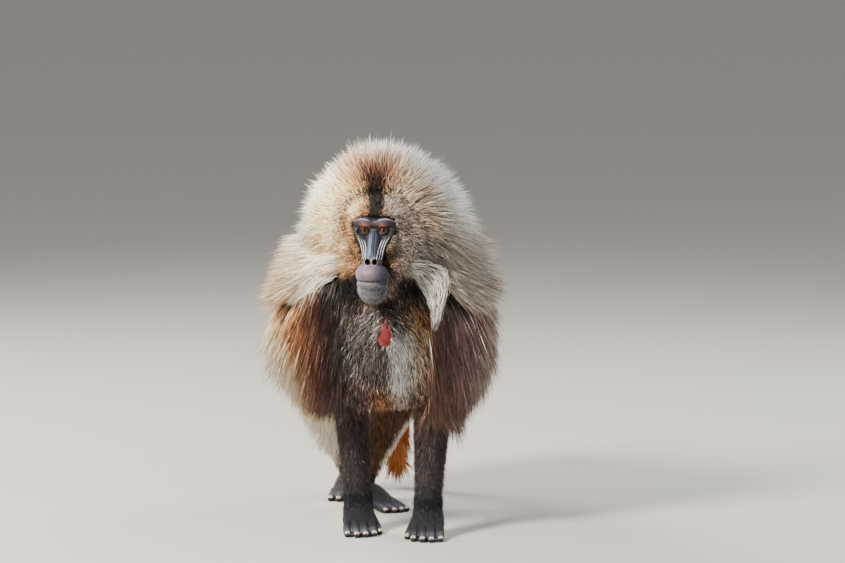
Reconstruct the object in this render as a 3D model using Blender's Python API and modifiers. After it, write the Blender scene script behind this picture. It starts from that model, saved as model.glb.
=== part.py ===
# A life-size male gelada standing on all fours, looking ahead.
# Metres, +Z up. The animal faces -Y, and its left side is at +X.
# Round forms are fused into soft bodies, which are parted with thin cuts into named pieces.

import math
import random

import bmesh
import bpy
import numpy as np
from mathutils import Matrix, Vector
from mathutils.bvhtree import BVHTree
from mathutils.kdtree import KDTree

# Driving dimensions of the body
GAP = 0.0003  # between pieces that touch
EYE_HEIGHT = 0.561
EYE_AHEAD = -0.135  # Y of the point midway between the eyes
FACE_SIDE = -0.018  # X of the same point
FACE_TURN = math.radians(-6)  # the face looks a little to its own right
EYE_SPACING = 0.034
EYEBALL = 0.0095  # radius
EYE_DETAIL = 14  # sides of the eyeball and of the hollow round it, which match
ELBOW_HEIGHT = 0.232
WRIST_HEIGHT = 0.070
KNEE_HEIGHT = 0.198
ANKLE_HEIGHT = 0.064
FINGER_SINK = 0.0012  # how far a finger's round underside is cut flat by the floor

# Where the body is parted: the neck from the trunk on a slope, the rest on upright planes
FACE_BACK = -0.112
NECK_PIVOT = (0, -0.050, 0.412)
NECK_SLOPE = math.radians(38)
CHEST_BACK = 0.165
RUMP_FRONT = 0.335
CHEST_SIDE = 0.078

# Cell of the remeshing, rounds of smoothing and faces kept, for each soft body
COAT_GRAIN = (0.0065, 14, 1250)
HEAD_GRAIN = (0.0022, 8, 1700)
LIMB_GRAIN = (0.0027, 4, 560)
TAIL_GRAIN = (0.004, 4, 260)
REACH_GRAIN = (0.007, 4, 200)

# A lock of hair: where its rings lie along it, and their share of its width and its thickness
LOCK_RINGS = ((0.00, 0.80, 1.00), (0.34, 1.00, 1.00), (0.66, 0.84, 0.80), (0.88, 0.48, 0.55))
ROOT_SINK = 0.014  # how deep a root lies under the core's surface
ROOT_BACK = 0.006  # how far behind the start of a lock its root lies
LOCK_REST = 0.003  # least height of a lock over the core
LOCK_SETTLE = 0.35  # share of the height above its wanted one that a lock falls back
LOCK_VARIES = 0.12  # share by which the length and the width of locks differ
UNION_KEEP = 0.80  # share of the faces kept after the union
SEED = 5

# Rows of the mane: angle from the way the face looks, locks in the row, length, width, how far they stand out
MANE_ROWS = (
    (44, 10, 0.074, 0.052, 0.62),
    (68, 13, 0.078, 0.060, 0.66),
    (94, 14, 0.084, 0.064, 0.55),
    (124, 8, 0.100, 0.074, 0.30),
)
# Rows of the cape: height, locks in the row, length, width
CAPE_ROWS = (
    (0.470, 11, 0.125, 0.080),
    (0.400, 13, 0.130, 0.084),
    (0.335, 13, 0.125, 0.084),
    (0.285, 11, 0.095, 0.074),
)
# Rows of the back: distance behind the origin, locks in the row, length, width
BACK_ROWS = (
    (0.185, 5, 0.125, 0.090),
    (0.262, 5, 0.120, 0.084),
    (0.338, 5, 0.105, 0.072),
)
# Rows of the tail's tuft: height, locks in the row, length, width
TUFT_ROWS = ((0.134, 4, 0.055, 0.024), (0.100, 4, 0.062, 0.026))
# Where the locks of each coat are cast out from, inside its core
MANE_MIDDLE = (-0.006, -0.020, 0.556)
WHISKER_MIDDLE = (FACE_SIDE, -0.030, 0.540)
CAPE_MIDDLE = (0, 0.055)  # at the height of each row
BACK_MIDDLE_HEIGHT = 0.385
TUFT_MIDDLE = (0.019, 0.586)
MANE_STRAY, CAPE_STRAY = 0.15, 0.12  # how far a lock stands from its even place, as a share of the spacing
CAPE_OPEN_BEHIND = 0.80  # the back's locks take over where the way out points further back than this
BACK_LEAN = math.radians(104)  # how far round from upright the back's rows reach on each side

# Base colour and roughness of each kind of surface
BARE_SKIN = ((0.060, 0.050, 0.055), 0.55)
MANE = ((0.560, 0.440, 0.320), 0.85)
CAPE = ((0.150, 0.085, 0.055), 0.85)
CHEST = ((0.380, 0.350, 0.320), 0.85)
FLANK = ((0.230, 0.150, 0.095), 0.85)
PALE_LEG = ((0.480, 0.370, 0.260), 0.80)
DARK_COAT = ((0.055, 0.042, 0.040), 0.80)
IRIS = ((0.160, 0.060, 0.025), 0.15)
TUFT = ((0.360, 0.150, 0.050), 0.85)

SIDES = ((-1, "right"), (1, "left"))
HUGE = 1.0  # reach of a cutter past the body
TOUCH = 0.00001  # two points nearer than this would fuse


def clear_scene():
    for old in list(bpy.data.objects):
        bpy.data.objects.remove(old, do_unlink=True)


def new_collection(name):
    made = bpy.data.collections.new(name)
    bpy.context.scene.collection.children.link(made)
    return made


def new_object(name, form, collection):
    """An object from a bmesh, which is freed."""
    mesh = bpy.data.meshes.new(name)
    bmesh.ops.recalc_face_normals(form, faces=form.faces)
    form.to_mesh(mesh)
    form.free()
    made = bpy.data.objects.new(name, mesh)
    collection.objects.link(made)
    return made


def ellipsoid(centre, radii, turn=(0, 0, 0), detail=20):
    """A bmesh ellipsoid. turn is in degrees, about X, then Y, then Z."""
    form = bmesh.new()
    bmesh.ops.create_uvsphere(form, u_segments=detail, v_segments=detail * 2 // 3, radius=1)
    spin = [Matrix.Rotation(math.radians(angle), 4, axis) for angle, axis in zip(turn, "XYZ")]
    place = Matrix.Translation(centre) @ spin[2] @ spin[1] @ spin[0] @ Matrix.Diagonal((*radii, 1))
    bmesh.ops.transform(form, matrix=place, verts=form.verts)
    return form


def smooth_path(stations, per_span):
    """Catmull-Rom rows of x, y, z, half width and half depth through (point, width, depth)."""
    rows = np.array([[*point, wide, deep] for point, wide, deep in stations], float)
    rows = np.vstack([2 * rows[0] - rows[1], rows, 2 * rows[-1] - rows[-2]])
    made = []
    for a, b, c, d in zip(rows, rows[1:], rows[2:], rows[3:]):
        for t in np.arange(per_span) / per_span:
            bend = (2 * a - 5 * b + 4 * c - d) * t**2 + (3 * b - a - 3 * c + d) * t**3
            made.append(0.5 * (2 * b + (c - a) * t + bend))
    made.append(rows[-2])
    return np.array(made)


def tube(stations, side=(1, 0, 0), segments=18, per_span=5, dome=3, flat_end=False):
    """A bmesh loft through stations of (point, half width along side, half depth), domed at the ends."""
    path = smooth_path(stations, per_span)
    centres, sizes = path[:, :3], path[:, 3:]
    ahead = np.gradient(centres, axis=0)
    ahead /= np.linalg.norm(ahead, axis=1, keepdims=True)
    angles = np.arange(1, dome + 1) * math.pi / 2 / (dome + 0.35)
    rings = [(centres[0] - ahead[0] * sizes[0].mean() * math.sin(a), sizes[0] * math.cos(a), ahead[0])
             for a in angles[::-1]]
    rings += list(zip(centres, sizes, ahead))
    if not flat_end:
        depth = sizes[-1].mean()
        rings += [(centres[-1] + ahead[-1] * depth * math.sin(a), sizes[-1] * math.cos(a), ahead[-1])
                  for a in angles]
    form = bmesh.new()
    loops = []
    for centre, (wide, deep), along in rings:
        along = Vector(along)
        across = (Vector(side) - along * Vector(side).dot(along)).normalized()
        up = across.cross(along)
        turns = [2 * math.pi * k / segments for k in range(segments)]
        spots = [Vector(centre) + across * wide * math.cos(t) + up * deep * math.sin(t) for t in turns]
        loops.append([form.verts.new(spot) for spot in spots])
    for near, far in zip(loops, loops[1:]):
        for k in range(segments):
            after = (k + 1) % segments
            form.faces.new((near[k], near[after], far[after], far[k]))
    form.faces.new(loops[0])
    form.faces.new(loops[-1])
    return form


def mirrored(stations):
    return [((-point[0], point[1], point[2]), wide, deep) for point, wide, deep in stations]


def settle(obj):
    """Replaces the object's mesh by what its modifiers make of it."""
    graph = bpy.context.evaluated_depsgraph_get()
    made = bpy.data.meshes.new_from_object(obj.evaluated_get(graph))
    obj.modifiers.clear()
    obj.data = made
    return obj


def keep_largest(obj):
    """Drops every loose surface but the largest one, which also fills a hollow that fusing sealed."""
    form = bmesh.new()
    form.from_mesh(obj.data)
    bmesh.ops.triangulate(form, faces=form.faces)
    left = set(form.faces)
    shells = []
    while left:
        stack = [left.pop()]
        shell = set(stack)
        while stack:
            for edge in stack.pop().edges:
                for face in edge.link_faces if len(edge.link_faces) == 2 else ():
                    if face in left:
                        left.discard(face)
                        shell.add(face)
                        stack.append(face)
        shells.append(shell)
    shells.sort(key=len)
    for shell in shells[:-1]:
        bmesh.ops.delete(form, geom=list(shell), context="FACES")
    loose = [vertex for vertex in form.verts if not vertex.link_faces]
    bmesh.ops.delete(form, geom=loose, context="VERTS")
    draw_apart(form)
    form.to_mesh(obj.data)
    form.free()
    return obj


def draw_apart(form):
    """Moves points of two sheets that touch a hair's breadth back into their own sheet."""
    form.verts.ensure_lookup_table()
    form.normal_update()
    places = KDTree(len(form.verts))
    for vertex in form.verts:
        places.insert(vertex.co, vertex.index)
    places.balance()
    for vertex in form.verts:
        if len(places.find_range(vertex.co, TOUCH)) > 1:
            vertex.co -= vertex.normal * TOUCH * 2


def fuse(name, forms, grain, collection, place=None):
    """One soft body from overlapping round forms: remeshed, smoothed and brought down to few faces."""
    cell, rounds, faces = grain
    joined = bmesh.new()
    for form in forms:
        bmesh.ops.recalc_face_normals(form, faces=form.faces)
        piece = bpy.data.meshes.new("form")
        form.to_mesh(piece)
        form.free()
        joined.from_mesh(piece)
        bpy.data.meshes.remove(piece)
    if place is not None:
        bmesh.ops.transform(joined, matrix=place, verts=joined.verts)
    made = new_object(name, joined, collection)
    remesh = made.modifiers.new("skin", "REMESH")
    remesh.mode = "VOXEL"
    remesh.voxel_size = cell
    soften = made.modifiers.new("soften", "SMOOTH")
    soften.factor = 0.5
    soften.iterations = rounds
    settle(made)
    made.data.calc_loop_triangles()
    reduce = made.modifiers.new("reduce", "DECIMATE")
    reduce.ratio = min(1.0, faces / len(made.data.loop_triangles))
    return keep_largest(settle(made))


def boolean(target, operation, other):
    """Applies one Boolean of an object, or of a whole collection, and removes what it used."""
    join = target.modifiers.new(operation.lower(), "BOOLEAN")
    join.operation = operation
    join.solver = "MANIFOLD"  # EXACT leaves nothing of some of these soft bodies
    used = [other]
    if isinstance(other, bpy.types.Collection):
        join.operand_type = "COLLECTION"
        join.collection = other
        used = list(other.objects)
    else:
        join.object = other
    settle(target)
    for piece in used:
        bpy.data.objects.remove(piece, do_unlink=True)
    return target


def copy_of(obj, name, collection):
    made = bpy.data.objects.new(name, obj.data.copy())
    collection.objects.link(made)
    return made


def swollen(obj, collection, by=GAP):
    """A copy whose surface stands out a little, which cuts a neighbour clear of the object."""
    made = copy_of(obj, "swollen", collection)
    form = bmesh.new()
    form.from_mesh(made.data)
    form.normal_update()
    for vertex in form.verts:
        vertex.co += vertex.normal * by * max(1.0, vertex.calc_shell_factor())
    form.to_mesh(made.data)
    form.free()
    return made


def clear_of(obj, neighbours, cutters):
    for neighbour in neighbours:
        boolean(obj, "DIFFERENCE", swollen(neighbour, cutters))
    return keep_largest(obj)


def slab(low, high, cutters, slope=0.0, pivot=(0, 0, 0)):
    """A box cutter between two corners measured from pivot, tipped about X there."""
    form = bmesh.new()
    bmesh.ops.create_cube(form, size=1)
    low, high = Vector(low), Vector(high)
    bmesh.ops.scale(form, vec=high - low, verts=form.verts)
    bmesh.ops.translate(form, vec=(low + high) / 2, verts=form.verts)
    place = Matrix.Translation(pivot) @ Matrix.Rotation(slope, 4, "X")
    bmesh.ops.transform(form, matrix=place, verts=form.verts)
    made = new_object("cutter", form, cutters)
    made.hide_render = True
    made.display_type = "WIRE"
    return made


def part_off(whole, name, nodes, boxes):
    """The part of whole inside every one of the boxes, as a node of its own."""
    made = copy_of(whole, name, nodes)
    for box in boxes:
        boolean(made, "INTERSECT", box)
    return keep_largest(made)


def layer(low, high, cutters):
    """A level slice of space from one height to another."""
    return slab((-HUGE, -HUGE, low), (HUGE, HUGE, high), cutters)


def paint(obj, look):
    """Gives the piece a material of its own, named for it, and shades it smooth."""
    colour, roughness = look
    material = bpy.data.materials.new(obj.name)
    material.use_nodes = True
    shader = material.node_tree.nodes["Principled BSDF"]
    shader.inputs["Base Color"].default_value = (*colour, 1)
    shader.inputs["Roughness"].default_value = roughness
    shader.inputs["Metallic"].default_value = 0.0
    obj.data.materials.clear()
    obj.data.materials.append(material)
    obj.data.shade_smooth()
    obj.data.set_sharp_from_angle(angle=math.radians(50))


# The trunk: chest, ribs, loin and rump as one loft from front to back, and the neck rising from it
def trunk_forms():
    spine = [
        ((0.000, -0.045, 0.360), 0.062, 0.085),
        ((0.000, -0.005, 0.382), 0.096, 0.114),
        ((0.000, 0.060, 0.395), 0.113, 0.126),
        ((0.000, 0.150, 0.385), 0.114, 0.124),
        ((0.000, 0.250, 0.368), 0.106, 0.112),
        ((0.000, 0.350, 0.366), 0.098, 0.098),
        ((0.000, 0.430, 0.372), 0.092, 0.088),
        ((0.000, 0.470, 0.378), 0.066, 0.070),
    ]
    neck = [
        ((0.000, -0.060, 0.540), 0.075, 0.070),
        ((0.000, 0.000, 0.490), 0.088, 0.088),
        ((0.000, 0.060, 0.430), 0.105, 0.105),
    ]
    return [tube(spine, segments=24), tube(neck, segments=24)]


# The core of the mane and the cape, which reaches half way to the tips of the hair
def coat_core_forms():
    cloak = [
        ((0.000, 0.030, 0.505), 0.136, 0.102),
        ((-0.002, 0.034, 0.455), 0.166, 0.120),
        ((-0.003, 0.040, 0.395), 0.181, 0.131),
        ((-0.004, 0.046, 0.335), 0.181, 0.134),
        ((-0.004, 0.050, 0.285), 0.162, 0.126),
        ((-0.004, 0.052, 0.262), 0.142, 0.116),
        ((-0.004, 0.054, 0.244), 0.108, 0.090),
    ]
    back = [
        ((0.000, 0.080, 0.488), 0.134, 0.108),
        ((0.000, 0.200, 0.444), 0.130, 0.108),
        ((0.000, 0.320, 0.410), 0.119, 0.096),
        ((0.000, 0.410, 0.386), 0.106, 0.084),
    ]
    return [
        ellipsoid((-0.002, -0.016, 0.560), (0.108, 0.094, 0.106), detail=28),
        ellipsoid((-0.002, 0.140, 0.370), (0.160, 0.132, 0.122), detail=28),
        tube(cloak, segments=28, dome=1, flat_end=True),
        tube(back, segments=24),
    ]


def lock(spine, outs, width, thickness):
    """A flat strip of hair along spine, with a low ridge on its outer side, that tapers to a point."""
    form = bmesh.new()
    loops = []
    for k, (_, wide, thick) in enumerate(LOCK_RINGS):
        along = (spine[k + 1] - spine[max(k - 1, 0)]).normalized()
        out = (outs[k] - along * outs[k].dot(along)).normalized()
        across = along.cross(out)
        half, deep = width * wide / 2, thickness * thick / 2
        corners = (across * half - out * deep, out * deep, -across * half - out * deep)
        loops.append([form.verts.new(spine[k] + corner) for corner in corners])
    for near, far in zip(loops, loops[1:]):
        for k in range(3):
            after = (k + 1) % 3
            form.faces.new((near[k], near[after], far[after], far[k]))
    form.faces.new(loops[0])
    tip = form.verts.new(spine[-1])
    for k in range(3):
        form.faces.new((loops[-1][k], loops[-1][(k + 1) % 3], tip))
    return form


class Coat:
    """Lays locks on a core, each along the lie of the hair there, and gathers them for one union."""

    def __init__(self, core):
        form = bmesh.new()
        form.from_mesh(core.data)
        self.skin = BVHTree.FromBMesh(form)
        form.free()
        self.core = core
        self.locks = new_collection("locks")
        self.chance = random.Random(SEED)

    def vary(self, value):
        return value * self.chance.uniform(1 - LOCK_VARIES, 1 + LOCK_VARIES)

    def stray(self, share):
        return self.chance.uniform(-share, share)

    def root(self, inside, way):
        """The point of the skin that lies from inside the core in the given way, and its normal."""
        point, normal, _, _ = self.skin.ray_cast(Vector(inside), Vector(way).normalized())
        return point, normal

    def lay(self, inside, way, flow, length, width, stand=0.12, lift=0.030, droop=0.2, thickness=0.009):
        """One lock. flow is the lie of the hair, stand lifts its start and droop bends it down."""
        point, normal = self.root(inside, way)
        flow = Vector(flow).normalized()
        along = (flow - normal * flow.dot(normal)).normalized()
        heading = (along * (1 - stand) + normal * stand).normalized()
        length, width = self.vary(length), self.vary(width)
        spine, outs = [point - normal * ROOT_SINK - heading * ROOT_BACK], [normal]
        shares = [share for share, _, _ in LOCK_RINGS[1:]] + [1.0]
        before = 0.0
        for share in shares:
            heading = (heading + Vector((0, 0, -droop * (share - before)))).normalized()
            point = point + heading * length * (share - before)
            near, normal, _, _ = self.skin.find_nearest(point)
            height = (point - near).dot(normal)
            wanted = LOCK_REST + lift * share
            if height < wanted:
                point = point + normal * (wanted - height)
            elif normal.z > -0.3:
                point = point - normal * (height - wanted) * LOCK_SETTLE * (1 - stand)
            heading = (point - spine[-1]).normalized()
            spine.append(point)
            outs.append(normal)
            before = share
        new_object("lock", lock(spine, outs, width, thickness), self.locks)

    def join(self):
        """Joins the locks to their core, and drops the needless points that this leaves."""
        boolean(self.core, "UNION", self.locks)
        bpy.data.collections.remove(self.locks)
        keep_largest(self.core)
        thin = self.core.modifiers.new("thin", "DECIMATE")
        thin.ratio = UNION_KEEP
        return keep_largest(settle(self.core))


def mane_locks(coat):
    """Rings of locks round the face that stand out as a halo, and lie back over the nape."""
    for row, (polar, count, length, width, stand) in enumerate(MANE_ROWS):
        polar = math.radians(polar)
        for k in range(count):
            round_face = 2 * math.pi * (k + 0.5 * (row % 2) + coat.stray(MANE_STRAY)) / count
            x, z = math.cos(round_face), math.sin(round_face)
            way = (math.sin(polar) * x, -math.cos(polar), math.sin(polar) * z)
            low = max(0.0, -z)
            flow = (x, 0.30 + 0.5 * max(0.0, -math.cos(polar)), z - 0.35 * low)
            stand_low = stand * (1 - 0.45 * low)
            length_low = length * (1 + 0.12 * low)
            coat.lay(MANE_MIDDLE, way, flow, length_low, width, stand_low, lift=0.032, droop=0.25)


def whisker_locks(coat):
    """The pale tufts that sweep from the cheeks over the front of the mane."""
    for side in (-1, 1):
        for k in range(2):
            way = (side * (0.62 - 0.10 * k), -0.78, -0.30 - 0.16 * k)
            flow = (side * (1.0 - 0.22 * k), -0.05, -0.45 - 0.25 * k)
            coat.lay(WHISKER_MIDDLE, way, flow, length=0.098, width=0.034, stand=0.20, lift=0.016, droop=0.3)


def cape_locks(coat):
    """Tiers that hang round the shoulders and the chest, each over the next one down."""
    for row, (height, count, length, width) in enumerate(CAPE_ROWS):
        for k in range(count):
            turn = 2 * math.pi * (k + 0.5 * (row % 2) + coat.stray(CAPE_STRAY)) / count
            way = (math.sin(turn), -math.cos(turn), 0)
            behind = max(0.0, way[1])
            front = max(0.0, -way[1])
            if behind > CAPE_OPEN_BEHIND:
                continue
            flow = (way[0] * 0.20, 0.45 * behind, -1.0)
            length_there = length * (1 - 0.12 * front)
            inside = (*CAPE_MIDDLE, height)
            coat.lay(inside, way, flow, length_there, width, stand=0.10, lift=0.034, droop=0.25)


def back_locks(coat):
    """Tiers across the back that lie to the rear and fall over the flanks."""
    for behind, count, length, width in BACK_ROWS:
        for k in range(count):
            lean = BACK_LEAN * (2 * (k + 0.5 + coat.stray(CAPE_STRAY)) / count - 1)
            way = (math.sin(lean), 0, math.cos(lean))
            flow = (way[0] * 0.4, 1.0, -0.15 - 0.85 * abs(way[0]))
            inside = (0, behind, BACK_MIDDLE_HEIGHT)
            coat.lay(inside, way, flow, length, width, stand=0.08, lift=0.026, droop=0.25)


def tuft_locks(coat):
    """Two tiers of narrow locks that hang round the end of the tail."""
    for row, (height, count, length, width) in enumerate(TUFT_ROWS):
        for k in range(count):
            turn = 2 * math.pi * (k + 0.5 * row) / count
            way = (math.cos(turn), math.sin(turn), 0)
            flow = (way[0] * 0.25, way[1] * 0.25, -1)
            inside = (*TUFT_MIDDLE, height)
            coat.lay(inside, way, flow, length, width, stand=0.12, lift=0.007, droop=0.1, thickness=0.006)


# An arm from inside the cape to the wrist. The left hand stands a little ahead of the right one.
def arm_stations(side):
    if side < 0:
        elbow, wrist, broad = (-0.063, 0.052, ELBOW_HEIGHT), (-0.050, 0.022, WRIST_HEIGHT), 0.93
    else:
        elbow, wrist, broad = (0.086, 0.020, ELBOW_HEIGHT), (0.078, -0.036, WRIST_HEIGHT), 1.0
    inside = (elbow[0] * 1.12, elbow[1] + 0.002, elbow[2] + 0.050)
    middle = tuple((a + b) / 2 + s for a, b, s in zip(elbow, wrist, (0, 0.004, 0)))
    stations = [
        (inside, 0.036 * broad, 0.044),
        (elbow, 0.035 * broad, 0.040),
        (middle, 0.030 * broad, 0.033),
        (wrist, 0.0235 * broad, 0.022),
    ]
    return stations, wrist


def digit(stations, across):
    """A finger or toe from stations whose height is the half depth less the sink, where it lies flat."""
    return tube(stations, side=across, segments=12, per_span=3)


def hand_forms(wrist, side, toe_in):
    """Palm, four fingers and a thumb: the fingers lie on the floor and the palm is raised."""
    across = Vector((math.cos(toe_in), math.sin(toe_in), 0))
    ahead = Vector((math.sin(toe_in), -math.cos(toe_in), 0))
    wrist = Vector(wrist)

    def spot(forward, sideways, height):
        made = wrist + ahead * forward + across * sideways
        made.z = height
        return tuple(made)

    palm = [
        (spot(-0.004, 0, WRIST_HEIGHT + 0.012), 0.0230, 0.0215),
        (spot(0.012, 0, 0.048), 0.0265, 0.0185),
        (spot(0.034, 0, 0.024), 0.0300, 0.0135),
    ]
    forms = [tube(palm, side=across)]
    for finger in range(4):
        spread = (finger - 1.5) * 0.0142
        reach = (0.078, 0.086, 0.084, 0.074)[finger if side < 0 else 3 - finger]
        stations = [
            (spot(0.032, spread, 0.0230), 0.0084, 0.0088),
            (spot(reach * 0.74, spread * 1.10, 0.0082), 0.0076, 0.0080),
            (spot(reach, spread * 1.14, 0.0060 - FINGER_SINK), 0.0062, 0.0062),
        ]
        forms.append(digit(stations, across))
    thumb = [
        (spot(0.018, -side * 0.020, 0.0340), 0.0085, 0.0085),
        (spot(0.036, -side * 0.032, 0.0130), 0.0072, 0.0075),
        (spot(0.048, -side * 0.036, 0.0062 - FINGER_SINK), 0.0062, 0.0064),
    ]
    forms.append(digit(thumb, across))
    return forms


# A hind leg from the hip to the ankle, and the turn of its foot. The left leg is swinging ahead.
def leg_stations(side):
    hip = (side * 0.076, 0.412, 0.376)
    if side < 0:
        knee, ankle, turn, thick = (-0.116, 0.344, 0.226), (-0.074, 0.490, 0.062), math.radians(-4), 1.14
    else:
        knee, ankle, turn, thick = (0.030, 0.236, 0.236), (-0.040, 0.330, 0.062), math.radians(33), 1.0
    thigh = tuple((a + b) / 2 + s for a, b, s in zip(hip, knee, (side * 0.008, 0.016, 0.0)))
    calf = tuple((2 * a + b) / 3 + s for a, b, s in zip(knee, ankle, (0, 0.010, 0)))
    stations = [
        (hip, 0.050, 0.084),
        (thigh, 0.050, 0.076),
        (knee, 0.043, 0.047),
        (calf, 0.036 * thick, 0.040 * thick),
        (ankle, 0.0195 * thick, 0.0215 * thick),
    ]
    return stations, ankle, turn


def thigh_reach(side, cutters):
    """The space round a thigh, which parts it from the rump and the torso, clear of the other thigh."""
    spare, inner = 0.018, 0.032 if side < 0 else -0.034
    stations = [(point, wide + spare, deep + spare) for point, wide, deep in leg_stations(side)[0][:4]]
    reach = fuse("reach", [tube(stations)], REACH_GRAIN, cutters)
    edges = sorted((side * inner, side * HUGE))
    return boolean(reach, "INTERSECT", slab((edges[0], -HUGE, -HUGE), (edges[1], HUGE, HUGE), cutters))


def foot_forms(ankle, side, turn):
    """Heel, sole, four toes and a great toe set apart, all on the floor."""
    across = Vector((math.cos(turn), math.sin(turn), 0))
    ahead = Vector((math.sin(turn), -math.cos(turn), 0))
    ankle = Vector(ankle)

    def spot(forward, sideways, height):
        made = ankle + ahead * forward + across * sideways
        made.z = height
        return tuple(made)

    shin = [(spot(0.000, 0, ANKLE_HEIGHT), 0.0195, 0.0215), (spot(-0.006, 0, 0.036), 0.0185, 0.0210)]
    sole = [
        (spot(-0.016, 0, 0.0160 - FINGER_SINK), 0.0155, 0.0160),
        (spot(0.018, 0, 0.0260), 0.0215, 0.0200),
        (spot(0.055, 0, 0.0160), 0.0265, 0.0135),
        (spot(0.072, 0, 0.0115), 0.0280, 0.0105),
    ]
    forms = [tube(shin, side=across), tube(sole, side=across)]
    for toe in range(4):
        spread = (toe - 1.5) * 0.0135 + side * 0.002
        reach = 0.112 - 0.006 * abs(toe - 1.5)
        stations = [
            (spot(0.062, spread, 0.0130), 0.0080, 0.0082),
            (spot(reach * 0.84, spread * 1.10, 0.0074), 0.0070, 0.0074),
            (spot(reach, spread * 1.16, 0.0060 - FINGER_SINK), 0.0060, 0.0062),
        ]
        forms.append(digit(stations, across))
    great_toe = [
        (spot(0.018, -side * 0.014, 0.0190), 0.0100, 0.0095),
        (spot(0.044, -side * 0.034, 0.0090), 0.0085, 0.0085),
        (spot(0.060, -side * 0.043, 0.0060 - FINGER_SINK), 0.0062, 0.0062),
    ]
    forms.append(digit(great_toe, across))
    return forms


def make_limbs(nodes, cutters):
    """Each arm and each leg is fused whole, then parted at the wrist, or at the knee and the ankle."""
    made = {}
    for side, word in SIDES:
        stations, wrist = arm_stations(side)
        toe_in = math.radians(5 if side < 0 else -2)
        arm = fuse("arm", [tube(stations)] + hand_forms(wrist, side, toe_in), LIMB_GRAIN, cutters)
        forearm_top = ELBOW_HEIGHT + 0.034
        made["forearm_" + word] = part_off(arm, "forearm_" + word, nodes,
                                           [layer(WRIST_HEIGHT + GAP, forearm_top, cutters)])
        made["hand_" + word] = part_off(arm, "hand_" + word, nodes, [layer(0, WRIST_HEIGHT, cutters)])
        bpy.data.objects.remove(arm, do_unlink=True)

        stations, ankle, turn = leg_stations(side)
        leg = fuse("leg", [tube(stations)] + foot_forms(ankle, side, turn), LIMB_GRAIN, cutters)
        made["shank_" + word] = part_off(leg, "shank_" + word, nodes,
                                         [layer(ANKLE_HEIGHT + GAP, KNEE_HEIGHT, cutters)])
        made["foot_" + word] = part_off(leg, "foot_" + word, nodes, [layer(0, ANKLE_HEIGHT, cutters)])
        bpy.data.objects.remove(leg, do_unlink=True)
    return made


# The tail leaves the rump, arches and hangs clear of the floor, with a tuft on its end
def make_tail(nodes, cutters):
    tail = [
        ((0.000, 0.470, 0.400), 0.026, 0.026),
        ((0.000, 0.520, 0.416), 0.021, 0.021),
        ((0.004, 0.566, 0.396), 0.018, 0.018),
        ((0.010, 0.590, 0.340), 0.0155, 0.0155),
        ((0.015, 0.594, 0.260), 0.0145, 0.0145),
        ((0.018, 0.590, 0.175), 0.0150, 0.0150),
    ]
    tuft = [
        ((0.018, 0.590, 0.175), 0.0150, 0.0150),
        ((0.019, 0.587, 0.140), 0.0150, 0.0150),
        ((0.019, 0.584, 0.095), 0.0160, 0.0160),
        ((0.018, 0.582, 0.062), 0.0100, 0.0100),
    ]
    parting = 0.150
    whole = fuse("tail_whole", [tube(tail, segments=14), tube(tuft, segments=14)], TAIL_GRAIN, cutters)
    made = {
        "tail": part_off(whole, "tail", nodes, [layer(parting + GAP, HUGE, cutters)]),
        "tail_tuft": part_off(whole, "tail_tuft", nodes, [layer(0, parting, cutters)]),
    }
    bpy.data.objects.remove(whole, do_unlink=True)
    dresser = Coat(made["tail_tuft"])
    tuft_locks(dresser)
    dresser.join()
    return made


# The head is laid out in millimetres from the point midway between the eyes, facing -Y
def head_place():
    place = Matrix.Translation((FACE_SIDE, EYE_AHEAD, EYE_HEIGHT))
    return place @ Matrix.Rotation(FACE_TURN, 4, "Z") @ Matrix.Scale(0.001, 4)


def head_forms():
    brow = [
        ((-33, 5, 9), 7, 7), ((-19, -7, 14), 8, 8), ((0, -5, 12), 7.5, 8),
        ((19, -7, 14), 8, 8), ((33, 5, 9), 7, 7),
    ]
    nose = [
        ((0, 10, -4), 15, 15), ((0, -10, -26), 15, 16), ((0, -25, -43), 15, 16), ((0, -32, -55), 17, 15),
    ]
    jaw = [((0, -18, -104), 22, 20), ((0, 14, -98), 33, 24), ((0, 50, -70), 44, 30)]
    cheekbone = [((31, 4, 3), 8, 8), ((25, -3, -13), 8, 8), ((16, -13, -30), 7.5, 9), ((11, -24, -44), 7, 8)]
    cheek = [((18, -8, -84), 12, 12), ((27, 14, -74), 16, 17), ((33, 40, -46), 20, 24)]
    nostril_rim = [((6.5, -40, -47), 6.2, 6.2), ((7, -46, -54), 6.2, 6)]
    forms = [
        ellipsoid((0, 52, 8), (46, 60, 44)),
        ellipsoid((0, 20, -8), (36, 24, 26)),
        ellipsoid((0, 36, -46), (42, 30, 48)),
        ellipsoid((0, -33, -75), (30.5, 30, 20)),
        ellipsoid((0, -25, -102), (27.5, 27, 30)),
        tube(brow, side=(0, 0, 1)),
        tube(nose),
        tube(jaw),
    ]
    for stations in (cheekbone, cheek, nostril_rim):
        forms += [tube(stations, segments=14), tube(mirrored(stations), segments=14)]
    return forms


def back_of_head():
    """The skull and the throat, which the coat closes round behind the face."""
    forms = [ellipsoid((0, 52, 8), (46, 60, 44)), ellipsoid((0, 36, -46), (42, 30, 48))]
    forms.append(tube([((0, 14, -98), 33, 24), ((0, 50, -70), 44, 30)]))
    for form in forms:
        bmesh.ops.transform(form, matrix=head_place(), verts=form.verts)
    return forms


def mouth_line():
    """A thin tube that follows the front of the muzzle from one corner of the mouth to the other."""
    reach, corner_rise, height = math.radians(96), 4.0, -87.0
    stations = []
    for k in range(9):
        angle = reach * (k / 4 - 1)
        x, y = 30.5 * math.sin(angle), -32 - 29.0 * math.cos(angle)
        stations.append(((x, y, height + corner_rise * (1 - math.cos(angle))), 1.6, 2.6))
    return tube(stations, side=(0, 0, 1), segments=6, per_span=1, dome=1)


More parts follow.
